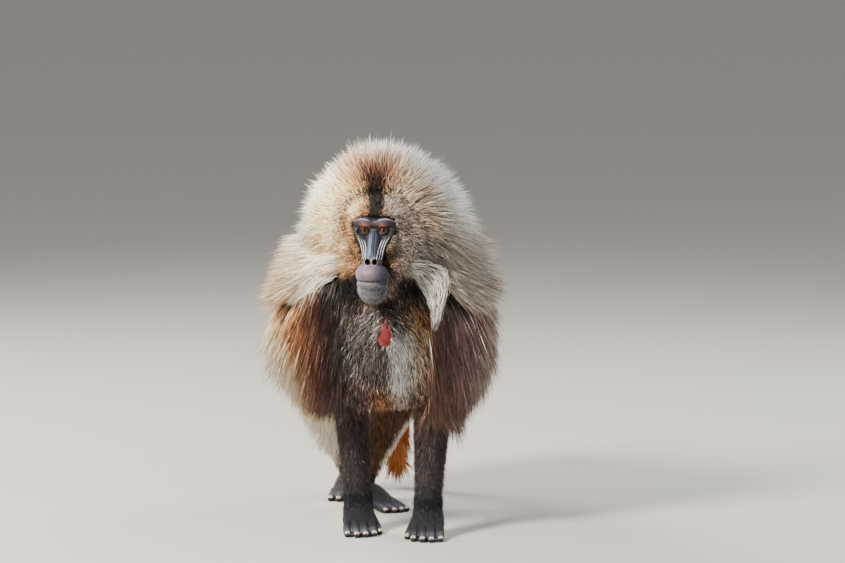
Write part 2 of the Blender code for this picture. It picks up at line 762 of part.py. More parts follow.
def carve_face(head, cutters):
    """Hollows round the eyes, lids over the eyeballs, nostrils and the line of the mouth."""

    def tool(form):
        bmesh.ops.transform(form, matrix=head_place(), verts=form.verts)
        return new_object("tool", form, cutters)

    ball, lid = EYEBALL * 1000, 1.8
    for side in (-1, 1):
        eye = (side * EYE_SPACING * 500, 3, 0)
        boolean(head, "DIFFERENCE", tool(ellipsoid((side * 18, -8, -2), (13.5, 9.0, 9.0), detail=12)))
        boolean(head, "UNION", tool(ellipsoid(eye, (ball + lid,) * 3, detail=EYE_DETAIL)))
        boolean(head, "DIFFERENCE", tool(ellipsoid(eye, (ball + GAP * 1000,) * 3, detail=EYE_DETAIL)))
        slit = ellipsoid((eye[0], -10, -0.5), (8.2, 10, 3.6), turn=(0, -side * 6, 0), detail=12)
        boolean(head, "DIFFERENCE", tool(slit))
        nostril = ellipsoid((side * 7.2, -47, -53), (3.9, 11, 4.6), turn=(-18, 0, side * 12), detail=10)
        boolean(head, "DIFFERENCE", tool(nostril))
    boolean(head, "DIFFERENCE", tool(mouth_line()))
    return keep_largest(head)


def make_eye(side, word, nodes):
    form = ellipsoid((side * EYE_SPACING * 500, 3, 0), (EYEBALL * 1000,) * 3, detail=EYE_DETAIL)
    bmesh.ops.transform(form, matrix=head_place(), verts=form.verts)
    return new_object("eye_" + word, form, nodes)


def ear_pocket(side, cutters, less=0.0):
    """The opening in the mane that bares the ear to the side."""
    radii = (0.090 - less, 0.030 - less, 0.029 - less)
    form = ellipsoid((side * 0.140 + FACE_SIDE, -0.052, 0.570), radii, turn=(0, 0, side * -10), detail=16)
    return new_object("pocket", form, cutters)


def make_ear(side, word, nodes, cutters):
    """A small cupped ear that stands on the bottom of its pocket, open to the front."""
    centre, turn = Vector((side * 0.068 + FACE_SIDE, -0.046, 0.570)), (0, 0, side * 20)
    outer = ellipsoid(centre, (0.0240, 0.0075, 0.0205), turn=turn, detail=12)
    ear = new_object("ear_" + word, outer, nodes)
    inside = centre + Vector((side * 0.004, -0.0055, 0))
    hollow = ellipsoid(inside, (0.0160, 0.0075, 0.0155), turn=turn, detail=12)
    boolean(ear, "DIFFERENCE", new_object("hollow", hollow, cutters))
    boolean(ear, "INTERSECT", ear_pocket(side, cutters, GAP))
    return keep_largest(ear)


def part_coat(coat, nodes, cutters):
    """Neck, chest, shoulders, torso and rump, each the part of the coat inside its own planes."""

    def above_neck(low, high):
        return slab((-HUGE, -HUGE, low), (HUGE, HUGE, high), cutters, NECK_SLOPE, NECK_PIVOT)

    def across(low, high):
        return slab((-HUGE, low, -HUGE), (HUGE, high, HUGE), cutters)

    def sideways(low, high):
        return slab((low, -HUGE, -HUGE), (high, HUGE, HUGE), cutters)

    def trunk_part(name, low, high, left, right):
        boxes = [above_neck(-HUGE, -GAP), across(low, high), sideways(left, right)]
        return part_off(coat, name, nodes, boxes)

    return {
        "neck": part_off(coat, "neck", nodes, [above_neck(0, HUGE), across(FACE_BACK + GAP, HUGE)]),
        "chest": trunk_part("chest", -HUGE, CHEST_BACK, -CHEST_SIDE, CHEST_SIDE),
        "shoulder_right": trunk_part("shoulder_right", -HUGE, CHEST_BACK, -HUGE, -CHEST_SIDE - GAP),
        "shoulder_left": trunk_part("shoulder_left", -HUGE, CHEST_BACK, CHEST_SIDE + GAP, HUGE),
        "torso": trunk_part("torso", CHEST_BACK + GAP, RUMP_FRONT, -HUGE, HUGE),
        "rump": trunk_part("rump", RUMP_FRONT + GAP, HUGE, -HUGE, HUGE),
    }


def stand_at_origin(nodes):
    """Hangs every piece on one empty, set so that the origin is under the middle of the body."""
    corners = np.array([tuple(v.co) for obj in nodes.objects for v in obj.data.vertices])
    middle = (corners.min(axis=0) + corners.max(axis=0)) / 2
    base = bpy.data.objects.new("gelada_base", None)
    base.location = (-middle[0], -middle[1], 0)
    for obj in nodes.objects:
        obj.parent = base
    nodes.objects.link(base)


LOOKS = {
    "head": BARE_SKIN, "ear": BARE_SKIN, "eye": IRIS, "neck": MANE, "chest": CHEST, "shoulder": CAPE,
    "torso": CAPE, "rump": FLANK, "thigh": PALE_LEG, "shank": PALE_LEG, "foot": BARE_SKIN,
    "forearm": DARK_COAT, "hand": BARE_SKIN, "tail": FLANK, "tail_tuft": TUFT,
}


def main():
    clear_scene()
    nodes, cutters = new_collection("gelada"), new_collection("cutters")

    head = fuse("head", head_forms(), HEAD_GRAIN, nodes, head_place())
    boolean(head, "INTERSECT", slab((-HUGE, -HUGE, -HUGE), (HUGE, FACE_BACK, HUGE), cutters))
    carve_face(head, cutters)
    for side, word in SIDES:
        make_eye(side, word, nodes)
        make_ear(side, word, nodes, cutters)

    limbs = make_limbs(nodes, cutters)
    tail = make_tail(nodes, cutters)

    thighs = [tube(leg_stations(side)[0]) for side, _ in SIDES]
    coat = fuse("coat", trunk_forms() + coat_core_forms() + thighs + back_of_head(), COAT_GRAIN, cutters)
    dresser = Coat(coat)
    for lay_form in (mane_locks, whisker_locks, cape_locks, back_locks):
        lay_form(dresser)
    dresser.join()
    for side, word in SIDES:
        above_knee = layer(KNEE_HEIGHT + GAP, HUGE, cutters)
        part_off(coat, "thigh_" + word, nodes, [thigh_reach(side, cutters), above_knee])
    trunk = part_coat(coat, nodes, cutters)
    bpy.data.objects.remove(coat, do_unlink=True)

    for side, word in SIDES:
        keep_largest(boolean(trunk["neck"], "DIFFERENCE", ear_pocket(side, cutters)))
        for name in ("chest", "shoulder_" + word):
            clear_of(trunk[name], [limbs["forearm_" + word]], cutters)
        for name in ("torso", "rump"):
            reach = thigh_reach(side, cutters)
            clear_of(trunk[name], [reach], cutters)
            bpy.data.objects.remove(reach, do_unlink=True)
    clear_of(trunk["rump"], [tail["tail"]], cutters)

    for obj in nodes.objects:
        kind = obj.name.replace("_left", "").replace("_right", "")
        paint(obj, LOOKS[kind])
    stand_at_origin(nodes)


main()
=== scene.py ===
import math

import bpy
import numpy as np
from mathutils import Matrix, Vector
from mathutils.bvhtree import BVHTree


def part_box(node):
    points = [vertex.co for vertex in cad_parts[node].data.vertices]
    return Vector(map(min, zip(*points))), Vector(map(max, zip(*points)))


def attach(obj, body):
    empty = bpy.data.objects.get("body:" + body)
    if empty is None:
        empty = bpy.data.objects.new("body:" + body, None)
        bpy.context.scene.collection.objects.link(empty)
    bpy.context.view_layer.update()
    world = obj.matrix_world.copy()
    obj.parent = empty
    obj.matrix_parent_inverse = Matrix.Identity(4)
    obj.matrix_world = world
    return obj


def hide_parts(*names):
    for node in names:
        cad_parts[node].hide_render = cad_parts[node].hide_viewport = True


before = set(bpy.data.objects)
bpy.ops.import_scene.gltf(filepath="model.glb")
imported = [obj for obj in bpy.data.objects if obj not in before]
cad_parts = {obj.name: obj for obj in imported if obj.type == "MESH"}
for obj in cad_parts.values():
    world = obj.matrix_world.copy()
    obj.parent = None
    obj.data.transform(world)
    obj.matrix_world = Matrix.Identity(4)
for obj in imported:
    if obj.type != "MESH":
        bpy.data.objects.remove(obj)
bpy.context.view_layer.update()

# The gelada in its coat. Lengths are metres and the animal faces -Y, with its left side at +X.
# Every form is worked out round the point midway between the eyes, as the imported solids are,
# and is moved to where they stand when its mesh is made.
head = {
    "eyeMiddle": (-0.018, -0.135, 0.561),
    "turn": -6.0,         # degrees, the face looks a little to its own right
    "eyeApart": 17.0,     # millimetres from the middle, as all sizes of the face are
    "eyeball": 9.5,
    "voxel": 0.00125,
    "rounds": 4,
}
body = {"voxel": 0.0056, "rounds": 6, "under": 0.0025}
limbs = {
    "voxel": 0.0030,
    "rounds": 3,
    "pawVoxel": 0.0017,
    "pawRounds": 2,
    "under": 0.0030,
    "wristHeight": 0.070,
    "ankleHeight": 0.064,
    "sink": 0.0012,
    "lowest": 0.0002,
}

turnAngle = math.radians(head["turn"])
turnRows = np.array([
    [math.cos(turnAngle), -math.sin(turnAngle), 0],
    [math.sin(turnAngle), math.cos(turnAngle), 0],
    [0, 0, 1],
])
eyeMiddle = np.array(head["eyeMiddle"])
eyeLow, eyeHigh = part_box("eye_left")
eyeSpot = eyeMiddle + turnRows @ np.array([head["eyeApart"], 3.0, 0.0]) * 0.001
shift = np.array((eyeLow + eyeHigh) / 2) - eyeSpot


def fromFace(spots):
    # millimetres round the middle of the eyes, turned and placed in the body
    return eyeMiddle + (np.asarray(spots, float) * 0.001) @ turnRows.T


def toFace(spots):
    return ((spots - eyeMiddle) @ turnRows) * 1000


def fade(low, high, value):
    # 0 below low, 1 above high, and 3t^2 - 2t^3 between
    t = np.clip((value - low) / (high - low), 0, 1)
    return t * t * (3 - 2 * t)


def unit(rows):
    return rows / np.maximum(np.linalg.norm(rows, axis=-1, keepdims=True), 1e-12)


def colour(red, green, blue):
    # screen values 0 to 255 to the linear values that shaders work in
    part = np.array([red, green, blue]) / 255
    return np.where(part <= 0.04045, part / 12.92, ((part + 0.055) / 1.055) ** 2.4)


def blend(base, over, share):
    share = np.asarray(share)[..., None]
    return base * (1 - share) + over * share


def layered(base, palette, layers):
    # tones laid one over the other, each by its own share
    for name, share in layers:
        base = blend(base, palette[name], share)
    return base


# Surfaces: every one is a grid of rings, closed with a point at each end
def closedGrid(rings):
    rows, cols = rings.shape[:2]
    spots = np.vstack([rings.reshape(-1, 3), rings[0].mean(axis=0), rings[-1].mean(axis=0)])
    row, col = np.mgrid[0:rows - 1, 0:cols]
    a, b = row * cols + col, row * cols + (col + 1) % cols
    sides = np.concatenate([np.stack([a, b, b + cols], -1), np.stack([a, b + cols, a + cols], -1)])
    here = np.arange(cols)
    after = (here + 1) % cols
    first = np.stack([after, here, np.full(cols, rows * cols)], -1)
    last = np.stack([here, after, np.full(cols, rows * cols + 1)], -1)
    last += np.array([1, 1, 0]) * (rows - 1) * cols
    faces = np.vstack([sides.reshape(-1, 3), first, last])
    corners = spots[faces]
    volume = np.einsum("ij,ij->i", corners[:, 0], np.cross(corners[:, 1], corners[:, 2])).sum()
    return spots, faces if volume > 0 else faces[:, ::-1]


def smoothPath(stations, perSpan):
    # Catmull-Rom through rows of x, y, z, half width and half depth
    rows = np.array([[*spot, wide, deep] for spot, wide, deep in stations], float)
    rows = np.vstack([2 * rows[0] - rows[1], rows, 2 * rows[-1] - rows[-2]])
    t = (np.arange(perSpan) / perSpan)[:, None]
    spans = [
        0.5 * (2 * b + (c - a) * t + (2 * a - 5 * b + 4 * c - d) * t**2 + (3 * b - a - 3 * c + d) * t**3)
        for a, b, c, d in zip(rows, rows[1:], rows[2:], rows[3:])
    ]
    return np.vstack(spans + [rows[-2]])


def tube(stations, side=(1, 0, 0), segments=24, perSpan=6, dome=4, flatEnd=False):
    # ellipses along the path, centre + across * width * cos t + up * depth * sin t, domed at both ends
    path = smoothPath(stations, perSpan)
    centres, sizes = path[:, :3], path[:, 3:]
    ahead = unit(np.gradient(centres, axis=0))
    lift = (np.arange(1, dome + 1) * math.pi / 2 / (dome + 0.35))[:, None]
    low = [centres[0] - ahead[0] * sizes[0].mean() * np.sin(lift[::-1]), sizes[0] * np.cos(lift[::-1])]
    high = [centres[-1] + ahead[-1] * sizes[-1].mean() * np.sin(lift), sizes[-1] * np.cos(lift)]
    if flatEnd:
        high = [high[0][:0], high[1][:0]]
    ahead = np.vstack([np.repeat(ahead[:1], dome, 0), ahead, np.repeat(ahead[-1:], len(high[0]), 0)])
    centres, sizes = np.vstack([low[0], centres, high[0]]), np.vstack([low[1], sizes, high[1]])
    across = unit(np.asarray(side, float) - ahead * (ahead @ np.asarray(side, float))[:, None])
    up = np.cross(across, ahead)
    t = np.arange(segments) * 2 * math.pi / segments
    rings = (centres[:, None] + across[:, None] * sizes[:, :1, None] * np.cos(t)[None, :, None]
             + up[:, None] * sizes[:, 1:, None] * np.sin(t)[None, :, None])
    return closedGrid(rings)


def ball(centre, radii, turn=(0, 0, 0), segments=28):
    # an ellipsoid by latitude and longitude, turned about X, then Y, then Z in degrees
    rows = segments // 2
    v = (np.arange(1, rows) * math.pi / rows)[:, None]
    u = (np.arange(segments) * 2 * math.pi / segments)[None, :]
    rings = np.stack([np.sin(v) * np.cos(u), np.sin(v) * np.sin(u), np.cos(v) + 0 * u], -1)
    spots, faces = closedGrid(rings * np.array(radii))
    for axis, angle in enumerate(np.radians(turn)):
        i, j = (axis + 1) % 3, (axis + 2) % 3
        spin = np.eye(3)
        spin[i, i] = spin[j, j] = math.cos(angle)
        spin[i, j], spin[j, i] = -math.sin(angle), math.sin(angle)
        spots = spots @ spin.T
    return spots + np.array(centre), faces


def mirrored(form):
    spots, faces = form
    return spots * np.array([-1, 1, 1]), faces[:, ::-1]


def joined(forms, place=None):
    # one list of points and faces from many
    starts = np.cumsum([0] + [len(spots) for spots, _ in forms[:-1]])
    spots = np.vstack([spots for spots, _ in forms])
    faces = np.vstack([faces + start for (_, faces), start in zip(forms, starts)])
    return (spots if place is None else place(spots)), faces


def newPiece(name, spots, faces, smooth=True):
    mesh = bpy.data.meshes.new(name)
    mesh.vertices.add(len(spots))
    mesh.vertices.foreach_set("co", (spots + shift).astype(np.float32).ravel())
    mesh.loops.add(faces.size)
    mesh.loops.foreach_set("vertex_index", faces.astype(np.int32).ravel())
    mesh.polygons.add(len(faces))
    mesh.polygons.foreach_set("loop_start", np.arange(0, faces.size, faces.shape[1], dtype=np.int32))
    mesh.update(calc_edges=True)
    if smooth:
        mesh.shade_smooth()
    made = bpy.data.objects.new(name, mesh)
    bpy.context.scene.collection.objects.link(made)
    return made


def settle(piece):
    # the mesh that the modifiers make takes the place of the piece's own
    graph = bpy.context.evaluated_depsgraph_get()
    made = bpy.data.meshes.new_from_object(piece.evaluated_get(graph))
    piece.modifiers.clear()
    piece.data = made
    return piece


def remeshed(name, form, voxel, rounds):
    piece = newPiece(name, *form)
    remesh = piece.modifiers.new("skin", "REMESH")
    remesh.mode = "VOXEL"
    remesh.voxel_size = voxel
    soften = piece.modifiers.new("soften", "SMOOTH")
    soften.factor = 0.5
    soften.iterations = rounds
    return settle(piece)


def boolean(piece, operation, tool):
    step = piece.modifiers.new(operation.lower(), "BOOLEAN")
    step.operation = operation
    step.solver = "MANIFOLD"
    step.object = tool
    settle(piece)
    bpy.data.objects.remove(tool, do_unlink=True)
    return piece


def readMesh(piece):
    # points, triangles and point normals of a piece, before it was moved to the frame
    mesh = piece.data
    mesh.calc_loop_triangles()
    spots = np.empty(len(mesh.vertices) * 3, np.float32)
    mesh.vertices.foreach_get("co", spots)
    normals = np.empty(len(mesh.vertices) * 3, np.float32)
    mesh.vertex_normals.foreach_get("vector", normals)
    faces = np.empty(len(mesh.loop_triangles) * 3, np.int32)
    mesh.loop_triangles.foreach_get("vertices", faces)
    spots, normals = [rows.reshape(-1, 3).astype(float) for rows in (spots, normals)]
    return spots - shift, faces.reshape(-1, 3), normals


def giveColour(piece, name, values):
    layer = piece.data.attributes.new(name, "FLOAT_COLOR", "POINT")
    values = np.hstack([values, np.ones((len(values), 1))])
    layer.data.foreach_set("color", values.astype(np.float32).ravel())


def giveValue(piece, name, values):
    layer = piece.data.attributes.new(name, "FLOAT", "POINT")
    layer.data.foreach_set("value", values.astype(np.float32))


# The head, in millimetres from the point midway between the eyes
def headForms():
    brow = [((-33, 5, 9), 7, 7), ((-19, -7, 14), 8, 8), ((0, -5, 12), 7.5, 8)]
    brow += [((19, -7, 14), 8, 8), ((33, 5, 9), 7, 7)]
    nose = [((0, 10, -4), 14, 15), ((0, -10, -26), 14, 16)]
    nose += [((0, -25, -43), 14.5, 16), ((0, -32, -55), 16.5, 15)]
    jaw = [((0, -18, -102), 19, 19), ((0, 14, -96), 30, 24), ((0, 50, -70), 43, 30)]
    cheekbone = [((31, 4, 3), 8, 8), ((25, -3, -13), 8, 8)]
    cheekbone += [((16, -13, -30), 7.5, 9), ((11, -24, -44), 7, 8)]
    cheek = [((18, -8, -84), 12, 12), ((27, 14, -74), 16, 17), ((33, 40, -46), 20, 24)]
    nostrilRim = [((6.0, -41, -46), 6.2, 6.0), ((6.3, -46.5, -54), 6.0, 5.8), ((13, -36, -52), 6.5, 7)]
    bag = [((8, -3.5, -8.5), 1.8, 1.8), ((17, -7.0, -10.5), 2.4, 2.2), ((26, -2.5, -8), 1.8, 1.8)]
    forms = [
        ball((0, 52, 8), (45, 59, 43)),
        ball((0, 20, -8), (35, 24, 26)),
        ball((0, 36, -46), (41, 30, 47)),
        ball((0, -33, -75), (29.6, 30, 20)),
        ball((0, -25, -98), (26.0, 27, 31.0)),
        tube(brow, side=(0, 0, 1)),
        tube(nose),
        tube(jaw),
    ]
    for stations in (cheekbone, cheek, nostrilRim, bag):
        forms += [tube(stations, segments=16), mirrored(tube(stations, segments=16))]
    for height, reach in ((-81.0, 21.6), (-94.5, 19.6)):
        lip = [((reach * math.sin(a), -31 - reach * math.cos(a), height + 3 * (1 - math.cos(a))), 6.6, 7.0)
               for a in np.radians(np.linspace(-100, 100, 15))]
        forms.append(tube(lip, side=(0, 0, 1), segments=14, perSpan=2))
    return forms


def carveFace(piece):
    # sockets, lids with a slit, nostrils and the line of the mouth
    apart, eyeball, lid = head["eyeApart"], head["eyeball"], 1.7

    def tool(form):
        return newPiece("tool", fromFace(form[0]), form[1])

    for side in (-1, 1):
        eye = (side * apart, 3, 0)
        boolean(piece, "DIFFERENCE", tool(ball((side * 18, -8, -2), (13.0, 9.0, 9.0), segments=32)))
        boolean(piece, "UNION", tool(ball(eye, (eyeball + lid,) * 3, segments=40)))
        boolean(piece, "DIFFERENCE", tool(ball(eye, (eyeball + 0.15,) * 3, segments=40)))
        boolean(piece, "DIFFERENCE", tool(ball((eye[0], -10, -0.4), (8.0, 10, 3.7), (0, side * 8, 0), 32)))
        nostril = ball((side * 5.9, -47, -53), (4.3, 11, 5.3), (-18, 0, side * 14), 20)
        boolean(piece, "DIFFERENCE", tool(nostril))
    angle = np.radians(np.linspace(-96, 96, 21))
    mouth = [
        ((30.6 * math.sin(a), -32 - 29.2 * math.cos(a), -87 + 4 * (1 - math.cos(a))), 0.9, 2.6)
        for a in angle
    ]
    boolean(piece, "DIFFERENCE", tool(tube(mouth, side=(0, 0, 1), segments=8, perSpan=2, dome=2)))
    return piece


skull = carveFace(remeshed("skull", joined(headForms(), fromFace), head["voxel"], head["rounds"]))
print("head", len(skull.data.polygons), "faces")


# The trunk and the core of the mane and the cape, as the solids have them, a little smaller
def narrower(stations, less):
    return [(spot, wide - less, deep - less) for spot, wide, deep in stations]


trunk = {
    "spine": [
        ((0.000, -0.045, 0.360), 0.062, 0.085),
        ((0.000, -0.005, 0.382), 0.096, 0.114),
        ((0.000, 0.060, 0.395), 0.113, 0.126),
        ((0.000, 0.150, 0.385), 0.114, 0.124),
        ((0.000, 0.250, 0.368), 0.106, 0.112),
        ((0.000, 0.350, 0.366), 0.098, 0.098),
        ((0.000, 0.430, 0.372), 0.092, 0.088),
        ((0.000, 0.470, 0.378), 0.066, 0.070),
    ],
    "neck": [
        ((0.000, -0.060, 0.540), 0.075, 0.070),
        ((0.000, 0.000, 0.490), 0.088, 0.088),
        ((0.000, 0.060, 0.430), 0.105, 0.105),
    ],
    "cloak": [
        ((0.000, 0.030, 0.505), 0.136, 0.102),
        ((-0.002, 0.034, 0.455), 0.166, 0.120),
        ((-0.003, 0.040, 0.395), 0.181, 0.131),
        ((-0.004, 0.046, 0.335), 0.181, 0.134),
        ((-0.004, 0.050, 0.285), 0.162, 0.126),
        ((-0.004, 0.052, 0.262), 0.142, 0.116),
        ((-0.004, 0.054, 0.244), 0.108, 0.090),
    ],
    "back": [
        ((0.000, 0.080, 0.488), 0.134, 0.108),
        ((0.000, 0.200, 0.444), 0.130, 0.108),
        ((0.000, 0.320, 0.410), 0.119, 0.096),
        ((0.000, 0.410, 0.386), 0.106, 0.084),
    ],
    "balls": [
        ((-0.002, -0.016, 0.560), (0.108, 0.094, 0.106)),
        ((-0.002, 0.140, 0.370), (0.160, 0.132, 0.122)),
    ],
}


def armStations(side):
    # from inside the cape to the wrist. The right arm, side -1, stands behind the left one
    if side < 0:
        elbow, wrist, broad = (-0.063, 0.052, 0.232), (-0.050, 0.022, 0.070), 0.93
    else:
        elbow, wrist, broad = (0.086, 0.020, 0.232), (0.078, -0.036, 0.070), 1.0
    inside = (elbow[0] * 1.12, elbow[1] + 0.002, elbow[2] + 0.050)
    middle = tuple((a + b) / 2 + s for a, b, s in zip(elbow, wrist, (0, 0.004, 0)))
    return [(inside, 0.036 * broad, 0.044), (elbow, 0.035 * broad, 0.040),
            (middle, 0.030 * broad, 0.033), (wrist, 0.0235 * broad, 0.022)]


def legStations(side):
    # from the hip to the ankle. The left leg, side 1, swings ahead under the belly
    hip = (side * 0.076, 0.412, 0.376)
    if side < 0:
        knee, ankle, thick = (-0.116, 0.344, 0.226), (-0.074, 0.490, 0.062), 1.14
    else:
        knee, ankle, thick = (0.030, 0.236, 0.236), (-0.040, 0.330, 0.062), 1.0
    thigh = tuple((a + b) / 2 + s for a, b, s in zip(hip, knee, (side * 0.008, 0.016, 0.0)))
    calf = tuple((2 * a + b) / 3 + s for a, b, s in zip(knee, ankle, (0, 0.010, 0)))
    return [(hip, 0.050, 0.084), (thigh, 0.050, 0.076), (knee, 0.043, 0.047),
            (calf, 0.036 * thick, 0.040 * thick), (ankle, 0.0195 * thick, 0.0215 * thick)]


def paw(base, turn):
    # a spot on a hand or a foot, from how far ahead and aside of its joint it lies, and its height
    across = np.array([math.cos(turn), math.sin(turn), 0])
    ahead = np.array([math.sin(turn), -math.cos(turn), 0])

    def spot(forward, sideways, height):
        made = np.array(base) + ahead * forward + across * sideways
        return (made[0], made[1], height)

    return spot, across


tips = []  # the end of each finger and toe, the station before it and its radius, where its nail sits


def digit(stations, across, radius):
    tips.append((stations[-1][0], stations[-2][0], radius))
    return tube(stations, side=across, segments=16, perSpan=4)


def handForms(side):
    wrist = armStations(side)[-1][0]
    spot, across = paw(wrist, math.radians(5 if side < 0 else -2))
    sink = limbs["sink"]
    palm = [(spot(-0.004, 0, limbs["wristHeight"] + 0.012), 0.0225, 0.0210),
            (spot(0.012, 0, 0.048), 0.0262, 0.0182), (spot(0.034, 0, 0.024), 0.0298, 0.0133)]
    forms = [tube(palm, side=across)]
    for finger in range(4):
        spread = (finger - 1.5) * 0.0142
        reach = (0.078, 0.086, 0.084, 0.074)[finger if side < 0 else 3 - finger]
        stations = [(spot(0.026, spread * 0.95, 0.0262), 0.0078, 0.0080),
                    (spot(0.040, spread, 0.0205), 0.0080, 0.0084),
                    (spot(reach * 0.74, spread * 1.10, 0.0090), 0.0073, 0.0078),
                    (spot(reach, spread * 1.14, 0.0062 - sink), 0.0061, 0.0062)]
        forms.append(digit(stations, across, 0.0061))
    thumb = [
        (spot(0.018, -side * 0.020, 0.0340), 0.0085, 0.0085),
        (spot(0.036, -side * 0.032, 0.0130), 0.0072, 0.0075),
        (spot(0.048, -side * 0.036, 0.0062 - sink), 0.0062, 0.0064),
    ]
    return forms + [digit(thumb, across, 0.0062)]


def footForms(side):
    ankle = legStations(side)[-1][0]
    spot, across = paw(ankle, math.radians(-4 if side < 0 else 33))
    sink = limbs["sink"]
    shin = [
        (spot(0.000, 0, limbs["ankleHeight"]), 0.0190, 0.0210),
        (spot(-0.006, 0, 0.036), 0.0182, 0.0206),
    ]
    sole = [(spot(-0.016, 0, 0.0160 - sink), 0.0153, 0.0160), (spot(0.018, 0, 0.0260), 0.0212, 0.0198),
            (spot(0.055, 0, 0.0160), 0.0262, 0.0133), (spot(0.072, 0, 0.0115), 0.0278, 0.0104)]
    forms = [tube(shin, side=across), tube(sole, side=across)]
    for toe in range(4):
        spread = (toe - 1.5) * 0.0135 + side * 0.002
        reach = 0.112 - 0.006 * abs(toe - 1.5)
        stations = [(spot(0.062, spread, 0.0130), 0.0078, 0.0080),
                    (spot(reach * 0.84, spread * 1.10, 0.0076), 0.0068, 0.0072),
                    (spot(reach, spread * 1.16, 0.0061 - sink), 0.0059, 0.0061)]
        forms.append(digit(stations, across, 0.0059))
    greatToe = [
        (spot(0.018, -side * 0.014, 0.0190), 0.0100, 0.0095),
        (spot(0.044, -side * 0.034, 0.0090), 0.0085, 0.0085),
        (spot(0.060, -side * 0.043, 0.0060 - sink), 0.0062, 0.0062),
    ]
    return forms + [digit(greatToe, across, 0.0062)]


tail = {
    "path": [
        ((0.000, 0.470, 0.400), 0.0230, 0.0230),
        ((0.000, 0.520, 0.416), 0.0180, 0.0180),
        ((0.004, 0.566, 0.396), 0.0150, 0.0150),
        ((0.010, 0.590, 0.340), 0.0125, 0.0125),
        ((0.015, 0.594, 0.260), 0.0115, 0.0115),
        ((0.018, 0.590, 0.175), 0.0110, 0.0110),
        ((0.019, 0.585, 0.110), 0.0095, 0.0095),
        ((0.018, 0.582, 0.070), 0.0070, 0.0070),
    ],
}

under = body["under"]
bodyForms = [tube(narrower(trunk[name], under), segments=32) for name in ("spine", "neck", "back")]
bodyForms += [tube(narrower(trunk["cloak"], under), segments=32, dome=1, flatEnd=True)]
bodyForms += [ball(centre, np.array(radii) - under, segments=40) for centre, radii in trunk["balls"]]
bodyForms += [tube(narrower(legStations(side)[:4], under)) for side in (-1, 1)]
skin = remeshed("skin", joined(bodyForms), body["voxel"], body["rounds"])

for side in (-1, 1):
    arm, leg = armStations(side), legStations(side)[2:]
    for word, limb, end, forms in (("arm", arm, "hand", handForms), ("leg", leg, "foot", footForms)):
        # the last station, at the wrist or the ankle, is narrowed less
        thinner = narrower(limb[:-1], limbs["under"]) + narrower(limb[-1:], limbs["under"] / 3)
        boolean(skin, "UNION", remeshed(word, tube(thinner), limbs["voxel"], limbs["rounds"]))
        fine = remeshed(end, joined(forms(side)), limbs["pawVoxel"], limbs["pawRounds"])
        boolean(skin, "UNION", fine)
tailForm = tube(tail["path"], segments=18)
boolean(skin, "UNION", remeshed("tail", tailForm, limbs["voxel"], limbs["rounds"]))
boolean(skin, "UNION", skull)
print("skin", len(skin.data.polygons), "faces")

# The floor cuts the fingers and toes flat, as it does in the solids
skinSpots, skinFaces, skinNormals = readMesh(skin)
skinSpots[:, 2] = np.maximum(skinSpots[:, 2], limbs["lowest"])

# The bare red patch on the chest: a long drop with its point up, raised to the level of the hair round it
patch = {"middle": (0.0015, 0.380), "half": (0.0140, 0.0265), "raise": 0.013}


def patchField(spots):
    # below 1 inside the drop, which narrows to its point
    up = (spots[:, 2] - patch["middle"][1]) / patch["half"][1]
    narrow = 0.18 + 0.82 * np.clip((1 - up) / 1.75, 0, 1)
    side = (spots[:, 0] - patch["middle"][0]) / (patch["half"][0] * narrow)
    front = np.where(spots[:, 1] < 0, 0.0, 9.0)
    return np.sqrt(side**2 * 0.9 + np.abs(up) ** 2.6) + front


raiseBy = patch["raise"] * (1 - fade(0.75, 1.9, patchField(skinSpots)))
skinSpots += np.array([0, -1, 0.1]) * raiseBy[:, None]


# Where the face is bare: inside this outline, seen from ahead, as height and half width in millimetres
bareFace = np.array([
    (-142, 0), (-133, 8), (-126, 15), (-117, 21), (-108, 25), (-99, 28), (-90, 31), (-77, 30.6), (-68, 27),
    (-60, 22.0), (-52, 18.8), (-41, 18.8), (-34, 21.0), (-26, 25.0), (-14, 31.5), (-4, 36.5), (4, 38.5),
    (11, 38), (17, 34.0), (21, 27.0), (23.5, 16.0), (25, 0),
])


def faceEdge(face):
    # millimetres outside the bare outline, less than 0 inside, and past it behind the front of the head
    half = np.interp(face[:, 2], bareFace[:, 0], bareFace[:, 1])
    out = np.abs(face[:, 0]) - half
    out = np.maximum(out, face[:, 2] - 24)
    out = np.maximum(out, -136 - face[:, 2])
    return np.maximum(out, face[:, 1] - np.interp(face[:, 2], [-110, -58, -38], [-14, -6, 12]))


def foldLines(face):
    # the ridges from under the eye to the nostril: which line a spot is on, and how much of it shows there
    along = np.clip((-7 - face[:, 2]) / 44, 0, 1)
    inner = 7.5 + 14 * np.exp(-3.4 * along)
    outer = 17.5 + 18 * np.exp(-2.6 * along)
    share = (np.abs(face[:, 0]) - inner) / (outer - inner)
    inside = fade(-0.06, 0.04, share) * (1 - fade(0.96, 1.06, share))
    top = -11 + 7 * fade(18, 34, np.abs(face[:, 0]))
    ends = fade(0, -9, face[:, 2] - top) * fade(-54, -46, face[:, 2])
    bridge = fade(7.4, 6.2, np.abs(face[:, 0])) * fade(-2, -12, face[:, 2]) * fade(-46, -38, face[:, 2])
    lines = np.where(share > -0.05, share * 3 - 0.5, (face[:, 0] - 1.6) / 4.2)
    return lines, np.maximum(inside * ends, bridge * 0.40) * (face[:, 1] < 20)


face = toFace(skinSpots)
foldPhase, foldMask = foldLines(face)
skinSpots += skinNormals * (foldMask * 0.0009 * np.cos(foldPhase * 2 * math.pi))[:, None]
mesh = skin.data
mesh.vertices.foreach_set("co", (skinSpots + shift).astype(np.float32).ravel())
mesh.update()
skinSpots, skinFaces, skinNormals = readMesh(skin)
mesh.shade_smooth()

